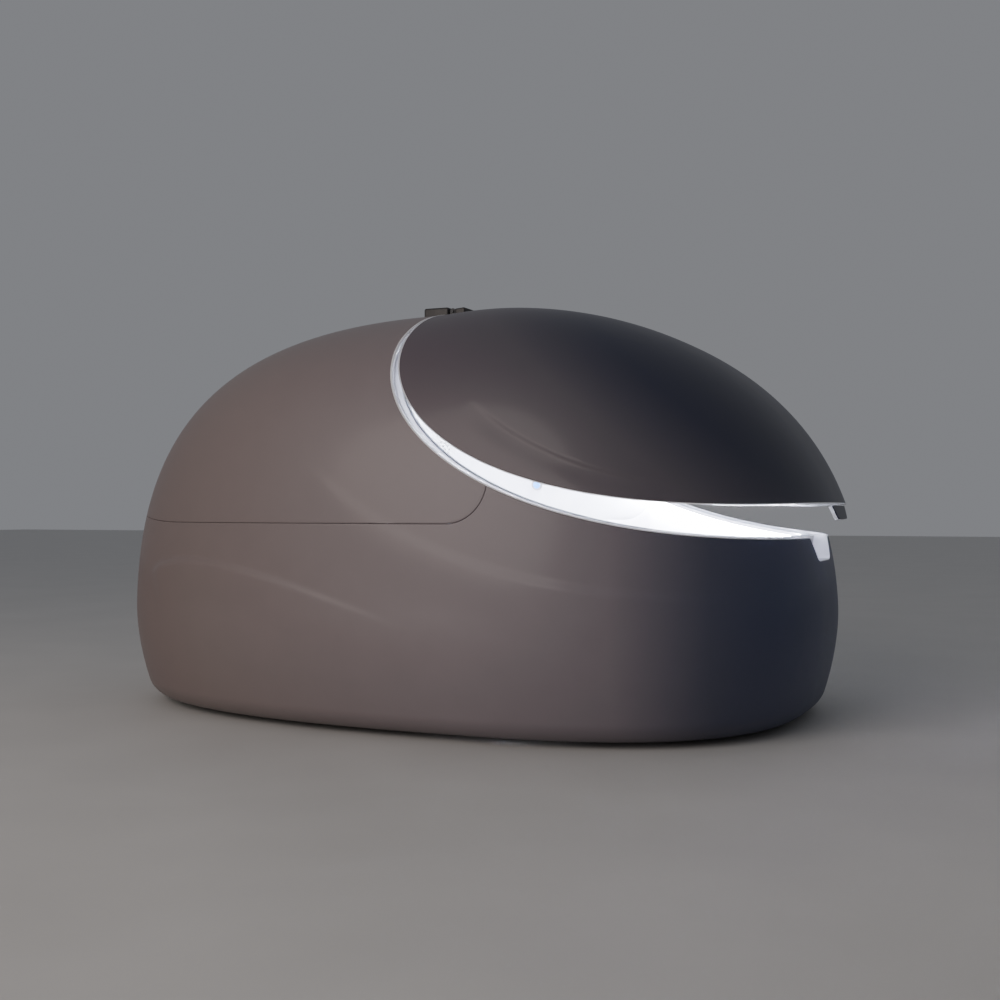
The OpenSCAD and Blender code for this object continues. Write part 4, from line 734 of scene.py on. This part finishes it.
# ---- Tail hood and its lining ----
# The fixed cover over the bather's head end: a glass-fibre moulding in the same gelcoat with a
# white lining behind it, lifted off at the thin seam for service. The hinge sits in a shallow
# pocket across its crown, and the lining is bored for the fan, the speakers and the buttons.
# The hinge: half its length, how far it reaches behind and before the pin, and the pocket's floor
hinge_half = 0.280
hinge_back = 0.100
hinge_front = 0.048
pocket_z = 1.289
# The strut brackets: their place, width and thickness, and how deep their slots reach
hanger_y = 0.3655
hanger_w = 0.048
hanger_t = 0.005
hood_hanger_x = -0.140
slot_deep = 0.165
# Distance from the cut within which a lining is turned into it
edge_turn = 0.080
# Radii and places of the fan, speakers and buttons
fan_r = 0.056
fan_z = crown_z - 0.290
speaker_r = 0.056
speaker_x = -0.450
speaker_z = 0.935
switch_r = 0.022
switch_x = -0.060
switch_z = 0.775


def eased(steps):
    """Shares from 0 to 1 with close steps at both ends."""
    return (1 - np.cos(pi*np.arange(steps + 1)/steps))/2


def crown_angle(x):
    """The outline's angle at a place along the top of the pod."""
    d = x - crown_x
    return acos(np.sign(d)*(abs(d)/(nose_len if d > 0 else tail_len))**(side_n/2))


def crown_line(first, last, steps):
    """The middle plane's outline between two angles."""
    return outline(first + (last - first)*eased(steps))


def cap_face(edge, crown, half_steps):
    """Points of the egg from an edge over the crown line to the edge on the far side."""
    j = np.arange(2*half_steps + 1)
    w = np.sin(pi/2*np.minimum(j, 2*half_steps - j)/half_steps)[None, :, None]
    flat = edge[:, None] + (crown - edge)[:, None]*w
    face = on_side(flat, np.sign(j - half_steps))
    face[[0, -1], :, 1] = 0
    return face


def hood_lines(steps, off, gap):
    """Edge and crown line of the hood or its lining, from the tail to the rim's crown."""
    met = seam_meets_rim(seam_r - gap/2, off)
    s = met + (rim_ends(off)[1] - met)*np.sin(pi/2*np.arange(steps + 1)/steps)
    edge = np.concatenate([seam(gap/2, off, steps), rim(s, off)])
    tail = pi - outline_angle(seam_z + seam_climb + gap/2)
    return edge, crown_line(tail, crown_angle(edge[-1, 0]), len(edge) - 1)


def hinge_pocket():
    """The block that clears the hinge leaves out of the crown."""
    return block("pocket", (rim_crown_x - hinge_back - bond, -hinge_half - bond, pocket_z - bond),
                 (rim_crown_x + hinge_front + bond, hinge_half + bond, crown_z + overshoot))


def hanger_slots(piece, x):
    """Slots in a lining for the strut brackets."""
    wide, thick = hanger_w/2 + bond, hanger_t/2 + bond
    for y in (-hanger_y, hanger_y):
        cut(piece, block("slot", (x - wide, y - thick, crown_z - slot_deep),
                         (x + wide, y + thick, crown_z)))


def lining_spot(x, z, side):
    """A point of the lining's inner face and the way through it."""
    p = on_side(np.array([x, z]), side)
    out = outward(p)
    return p - wet_depth*out, out


def lining(name, edge, crown, half_steps):
    """A wall behind the egg, whose edges are turned into the cut."""
    face = cap_face(edge, crown, half_steps)
    out = outward(face)
    from_cut = np.min(np.linalg.norm(face[:, :, None, [0, 2]] - edge, axis=-1), axis=-1)
    near_cut = 1 - smooth(from_cut/edge_turn)[..., None]
    turned = out + near_cut*(in_cut(out, run_of(edge)[:, None]) - out)
    return wall(name, face - wet_depth*turned, -out, liner_t, liner_lip, back_rows=40)


hood_face = cap_face(*hood_lines(92, skin_off, seam_gap), half_steps=150)
hood_skin = skin("hood_skin", hood_face, [upper_crease], back_rows=24)
cut(hood_skin, hinge_pocket())
fit(hood_skin, pearl, "pod", ["tail_hood"])

hood_lining = lining("hood_lining", *hood_lines(56, lining_off, 0), half_steps=56)
fan_x = outline(pi - outline_angle(fan_z))[0]
drill(hood_lining, *lining_spot(fan_x, fan_z, 0), fan_r)
for side in (-1, 1):
    drill(hood_lining, *lining_spot(speaker_x, speaker_z, side), speaker_r)
    drill(hood_lining, *lining_spot(switch_x, switch_z, side), switch_r)
hanger_slots(hood_lining, hood_hanger_x)
fit(hood_lining, white, "pod", ["hood_liner"])
dress(white_abs, "fan_housing", "speakers")
dress(black_plastic, "vent_fan")
dress(stainless, "switch_housings")
# Button caps: translucent moulded acrylic, softly lit, blue for the light and amber for help.
dress(lit_plastic("blue_acrylic", "#2f7fd0", "#4a9be6", 0.17, 0.6), "light_button")
dress(lit_plastic("amber_acrylic", "#d9622a", "#ef7a3c", 0.17, 0.6), "help_button")

# ---- Rim mouldings, seal and halo ----
# A white gelcoated channel runs round the mouth on the shell, and its mirror image round the
# lid. Each has a rolled outer lip, a drip groove behind it and a flat that carries the seal.
# Under the lower one a glowing diffuser strip lights the cabin.
# Heights above the rim line, and depths and widths from the outer skin inwards
rim_under = -0.011
rim_flat = 0.003
rim_w = 0.088
rim_behind = 0.0064
lip_proud = 0.0015
lip_w = 0.009
drip_low = -0.003
nose_proud = 0.0005
# Depth from the outer skin, height above the rim line, and rounding radius of each corner
rim_profile = [(-lip_proud, skin_off + bond, 0.002), (-lip_proud, rim_lip, 0.003),
               (lip_w, rim_lip, 0.002), (0.011, drip_low, 0.0015), (0.023, drip_low, 0.002),
               (0.027, rim_flat, 0.003), (rim_w, rim_flat, 0.003), (rim_w, rim_under, 0.002),
               (rim_behind, rim_under, 0.001), (rim_behind, skin_off + bond, 0.0005)]
seal_profile = [(0.062, rim_flat + bond, 0.0005), (0.063, 0.0074, 0.002), (0.073, 0.0074, 0.002),
                (0.074, rim_flat + bond, 0.0005)]
strip_profile = [(0.074, -0.018, 0.001), (0.074, -0.012, 0.0005), (0.088, -0.012, 0.0005),
                 (0.088, -0.018, 0.003)]


def rounded(corners, steps=4):
    """A closed outline with each corner rounded by its radius."""
    spots = np.array([c[:2] for c in corners])
    line = []
    for k, here in enumerate(spots):
        r = corners[k][2]
        before, after = spots[k - 1] - here, spots[(k + 1) % len(spots)] - here
        start = here + r*before/np.linalg.norm(before)
        end = here + r*after/np.linalg.norm(after)
        line += [(1 - t)**2*start + 2*t*(1 - t)*here + t*t*end for t in np.linspace(0, 1, steps)]
    return np.array(line + line[:1])


def hoop(name, profile, steps=120):
    """A profile of depths and heights swept round the whole rim, closed at the crown."""
    s, side = round_the_pod(eased(steps))

    def shares(off):
        first, last = rim_ends(off)
        return first + s*(last - first)

    def line(off):
        return on_side(rim(shares(off), off), side)

    step = 1e-4
    run = rim(shares(0) + step, 0) - rim(shares(0) - step, 0)
    out = in_cut(outward(line(0)), run)
    return grid_piece(name, np.stack([line(off) - depth*out for depth, off in profile], axis=1))


rim_moulding = hoop("rim_moulding", rounded(rim_profile), steps=170)
cut(rim_moulding, recess("notch", grip_wall + bond, tip_x + hem_r, overshoot))
cut(rim_moulding, hinge_pocket())
fit(rim_moulding, white, "pod", ["rim_flange"])


def nose_at(y, z):
    """Points of the egg's nose at places of the front view."""
    return np.stack([mid_x(z) + reach(z, 1.0)*bow(np.abs(y)/half_w(z), nose_n), y, z], axis=-1)


# The finger pocket is a white moulding let into the nose, flush with the shell.
nose_face = nose_at(*np.meshgrid(np.linspace(-0.2, 0.2, 41), np.linspace(0.44, 0.60, 25)))
nose_face[..., 0] += nose_proud
forwards = np.broadcast_to(np.array([1.0, 0, 0]), nose_face.shape)
nose_block = wall("nose_block", nose_face, forwards, thickness=0.12, lip=0.0001)
finger_pocket = recess("finger_pocket", grip_wall, tip_x + hem_r, 0)
cut(finger_pocket, recess("hollow", 0, tip_x + 2*hem_r, overshoot))
cut(finger_pocket, nose_block, "INTERSECT")
fit(finger_pocket, white, "pod", ["nose_grip"])

# Silicone seal: a soft matt bulb, dusted grey with salt.
silicone = grained("silicone_seal", "#8d949c", "#a3a9b0", (0.55, 0.7), grain=0.001)
mouth_seal = hoop("mouth_seal", rounded(seal_profile))
fit(mouth_seal, silicone, "pod", ["rim_seal"])

# Opal acrylic over a strip of cool white diodes: an even bright glow.
glow = lit_plastic("opal_acrylic", "#e6ebff", "#f7f9ff", 0.35, 600.0)
halo_strip = hoop("halo_strip", rounded(strip_profile))
fit(halo_strip, glow, "pod", ["halo_light"])

# ---- Hinge ----
# A long piano-type hinge of pressed steel across the crown, with bronze bushes on one pin. A
# moulded cover, drawn almost black as painted shade, hides its fixed leaf, and a lower one its
# moving leaf.
# The covers: their thickness, foot, inner ends beside the pin, and tops. Then the turn at which
# the lid is stored, and the pin.
cover_t = 0.004
cover_low = 1.2992
hood_cover_x = 0.041
hood_cover_top = crown_z + 0.023
lid_cover_x = 0.064
lid_cover_top = hood_cover_top - 0.007
lid_open = radians(4.9)
pin = Vector((rim_crown_x, 0, crown_z + 0.010))

# Blackened steel: oiled black oxide, a dark even grey with a faint rub along the pin.
hinge_steel = grained("blackened_steel", "#2b2c2e", "#414244", (0.35, 0.5), 1.0, draw=(1, 0.1, 1))
dress(hinge_steel, "hinge_base", "lid_hinge_leaf", "hinge_pin", "hinge_bolts", "lid_hinge_bolts")
# Oiled bronze: warm satin metal, darkened in spots.
dress(grained("oiled_bronze", "#8a6238", "#a87b49", (0.3, 0.45), 1.0, blotch=0.01), "hinge_bushes")
# Moulded ABS drawn almost black as painted shade, with a soft, slightly uneven sheen.
cover_painted_shade = grained("dark_abs_painted_shade", "#232122", "#302d2e", (0.40, 0.55), grain=0.001)


def swing_open(piece):
    """Turns a piece that was drawn with the lid shut about the hinge pin, to where it is stored."""
    turn = Matrix.Rotation(-lid_open, 4, "Y")
    piece.data.transform(Matrix.Translation(pin) @ turn @ Matrix.Translation(-pin))


def crown_cover(name, x0, x1, top, r):
    """A cover with rounded upper edges and corners, hollowed from below."""
    piece = block(name, (x0, -hinge_half, cover_low), (x1, hinge_half, top))
    round_edges(piece, lambda a, b: max(a.z, b.z) > cover_low + probe, r, 6)
    hollow = block("hollow", (x0 + cover_t, -hinge_half + cover_t, cover_low - 0.01),
                   (x1 - cover_t, hinge_half - cover_t, top - cover_t))
    round_edges(hollow, lambda a, b: max(a.z, b.z) > cover_low, r - cover_t/2, 4)
    cut(piece, hollow)
    return piece


hood_cover = crown_cover("hood_cover", rim_crown_x - hinge_back, hood_cover_x, hood_cover_top,
                         0.007)
lid_cover = crown_cover("lid_cover", lid_cover_x, rim_crown_x + hinge_front, lid_cover_top, 0.005)
swing_open(lid_cover)
fit(hood_cover, cover_painted_shade, "pod", ["hinge_cover"])
fit(lid_cover, cover_painted_shade, "lid", ["lid_hinge_cover"])

# ---- Lid ----
# The hinged half of the egg, stored a hand's breadth open: a glass-fibre skin in the pearl gelcoat,
# painted darker as shade and darker still towards the crown, with one soft crease a side, a white
# lining and its own rim moulding.
# Heights above the rim line, of the lid's edge and of its moulding's underside and top
lid_off = 0.012
lid_low = 0.0082
lid_top = 0.022
lid_hanger_x = 0.100
lid_course = [(0.310, 0.960), (0.465, 0.805), (0.705, 0.675), (0.930, 0.660)]
lid_crease = (lid_course, 0.018, -0.005, 0.060, 0.20, 0.45)
# Painted shade: the shell's gelcoat drawn darker for the lid, and by climb darker towards the
# crown.
lid_painted_shade_stops = [(0.0, "#645a5d"), (0.70, "#594f56"), (0.83, "#4d4951"), (0.90, "#22253a"),
             (1.0, "#0f1430")]
lid_pearl_painted_shade = pearl_gelcoat("pearl_gelcoat_lid_painted_shade", lid_painted_shade_stops, climb=1.2)


def lid_lines(steps):
    """Edge and crown line of the lid, from its nose to the rim's crown."""
    nose_s, crown_s = rim_ends(lid_off)
    edge = rim(nose_s + (crown_s - nose_s)*eased(steps), lid_off)
    return edge, crown_line(outline_angle(edge[0, 1]), crown_angle(edge[-1, 0]), steps)


lid_face = cap_face(*lid_lines(180), half_steps=190)
lid_skin = skin("lid_skin", lid_face, [lid_crease], back_rows=24)
cut(lid_skin, hinge_pocket())
swing_open(lid_skin)
fit(lid_skin, lid_pearl_painted_shade, "lid", ["lid_shell"])

lid_lining = lining("lid_lining", *lid_lines(100), half_steps=60)
hanger_slots(lid_lining, lid_hanger_x)
swing_open(lid_lining)
fit(lid_lining, white, "lid", ["lid_liner"])

lid_profile = [(-lip_proud, lid_off - bond, 0.001), (-lip_proud, lid_low, 0.0015),
               (rim_w, lid_low, 0.003), (rim_w, lid_top, 0.002), (0.082, lid_top, 0.002),
               (0.080, lid_off - bond, 0.002)]
lid_moulding = hoop("lid_moulding", rounded(lid_profile), steps=170)
cut(lid_moulding, hinge_pocket())
swing_open(lid_moulding)
fit(lid_moulding, white, "lid", ["lid_flange"])

# The pull tongue carries the lid's skin on down over the finger recess, on a white back, and
# narrows downwards. Its heights are those of the closed lid.
tongue_r = 0.016
tongue_top = 0.5778
tongue_low = 0.5358
tongue_low_w = 0.170
tongue_top_w = 0.220
tongue_face_t = 0.004
tongue_back_t = 0.010


def tongue(name, first, thickness, lip):
    """A curved tab under the lid's nose, with round lower corners, from depth first inwards."""
    z = np.linspace(tongue_top, tongue_low, 25)[None, :]
    up = (z - tongue_low)/(tongue_top - tongue_low)
    half = tongue_low_w/2 + (tongue_top_w - tongue_low_w)/2*up
    short = np.maximum(0, tongue_r - (z - tongue_low))
    half = half - tongue_r + np.sqrt(tongue_r**2 - short**2)
    y = half*np.linspace(-1, 1, 49)[:, None]
    face = nose_at(y, z + 0*y)
    out = outward(face)
    piece = wall(name, face - first*out, out, thickness, lip, back_rows=6)
    swing_open(piece)
    return piece


tongue_skin = tongue("tongue_skin", 0.0, tongue_face_t, 0.0015)
fit(tongue_skin, lid_pearl_painted_shade, "lid", ["lid_pull"])
tongue_back = tongue("tongue_back", tongue_face_t, tongue_back_t, 0.001)
fit(tongue_back, white, "lid", ["lid_pull"])

# Polished stainless tube for the handle inside the lid.
dress(grained("polished_stainless", "#b4b6b8", "#d2d4d6", (0.08, 0.16), 1.0, blotch=0.04),
      "inner_handle")

# ---- Gas struts ----
# Two sealed gas springs hold the lid: a black enamelled cylinder on the hood and a hard-chromed
# rod on the lid, on plates of the hinge's blackened steel.
dress(hinge_steel, "hood_strut_plates", "lid_strut_plates")
# Black enamel: stoved gloss paint, a little wavy.
dress(grained("black_enamel", "#17181a", "#242628", (0.25, 0.35), grain=0.003),
      "strut_cylinder_right", "strut_cylinder_left")
# Hard chrome: ground and polished, almost a mirror.
dress(grained("hard_chrome", "#c6c8ca", "#e2e4e6", (0.04, 0.1), 1.0),
      "strut_rod_right", "strut_rod_left")

# ---- Floor, light and camera ----
# A plain pale studio floor under an even sky, one wide soft lamp, and the camera at a seated
# visitor's height.
bpy.ops.object.select_all(action="DESELECT")
bpy.ops.mesh.primitive_plane_add(size=60)
floor = bpy.context.object
floor.name = "studio_floor"
# Floor paint: pale and matt, in faint patches half a metre wide.
floor.data.materials.append(grained("pale_floor_paint", "#bfbebc", "#c9c8c6", (0.55, 0.7),
                                    blotch=0.5))

world = bpy.data.worlds.new("studio")
bpy.context.scene.world = world
world.use_nodes = True
sky = world.node_tree.nodes["Background"]
sky.inputs["Color"].default_value = linear("#c4c6cc")
sky.inputs["Strength"].default_value = 0.40


def aim(name, data, spot, ahead):
    """Puts a lamp or camera at a spot, looking along ahead."""
    holder = bpy.data.objects.new(name, data)
    bpy.context.scene.collection.objects.link(holder)
    holder.location = spot
    holder.rotation_euler = ahead.to_track_quat("-Z", "Y").to_euler()
    return holder


lamp = bpy.data.lights.new("key_lamp", "AREA")
lamp.shape = "DISK"
lamp.size = 6.0
lamp.energy = 240
lamp.color = linear("#fff3ea")[:3]
lamp_spot = Vector((-1.6, -6.6, 2.8))
aim("key_lamp", lamp, lamp_spot, Vector((0, 0, 0.5)) - lamp_spot)

camera = bpy.data.cameras.new("camera")
camera.lens = 47.5
camera.sensor_width = 36
heading, tilt = radians(-23.237), radians(0.409)
ahead = Vector((sin(heading)*cos(tilt), cos(heading)*cos(tilt), sin(tilt)))
bpy.context.scene.camera = aim("camera", camera, (1.8985, -4.1768, 0.6656), ahead)
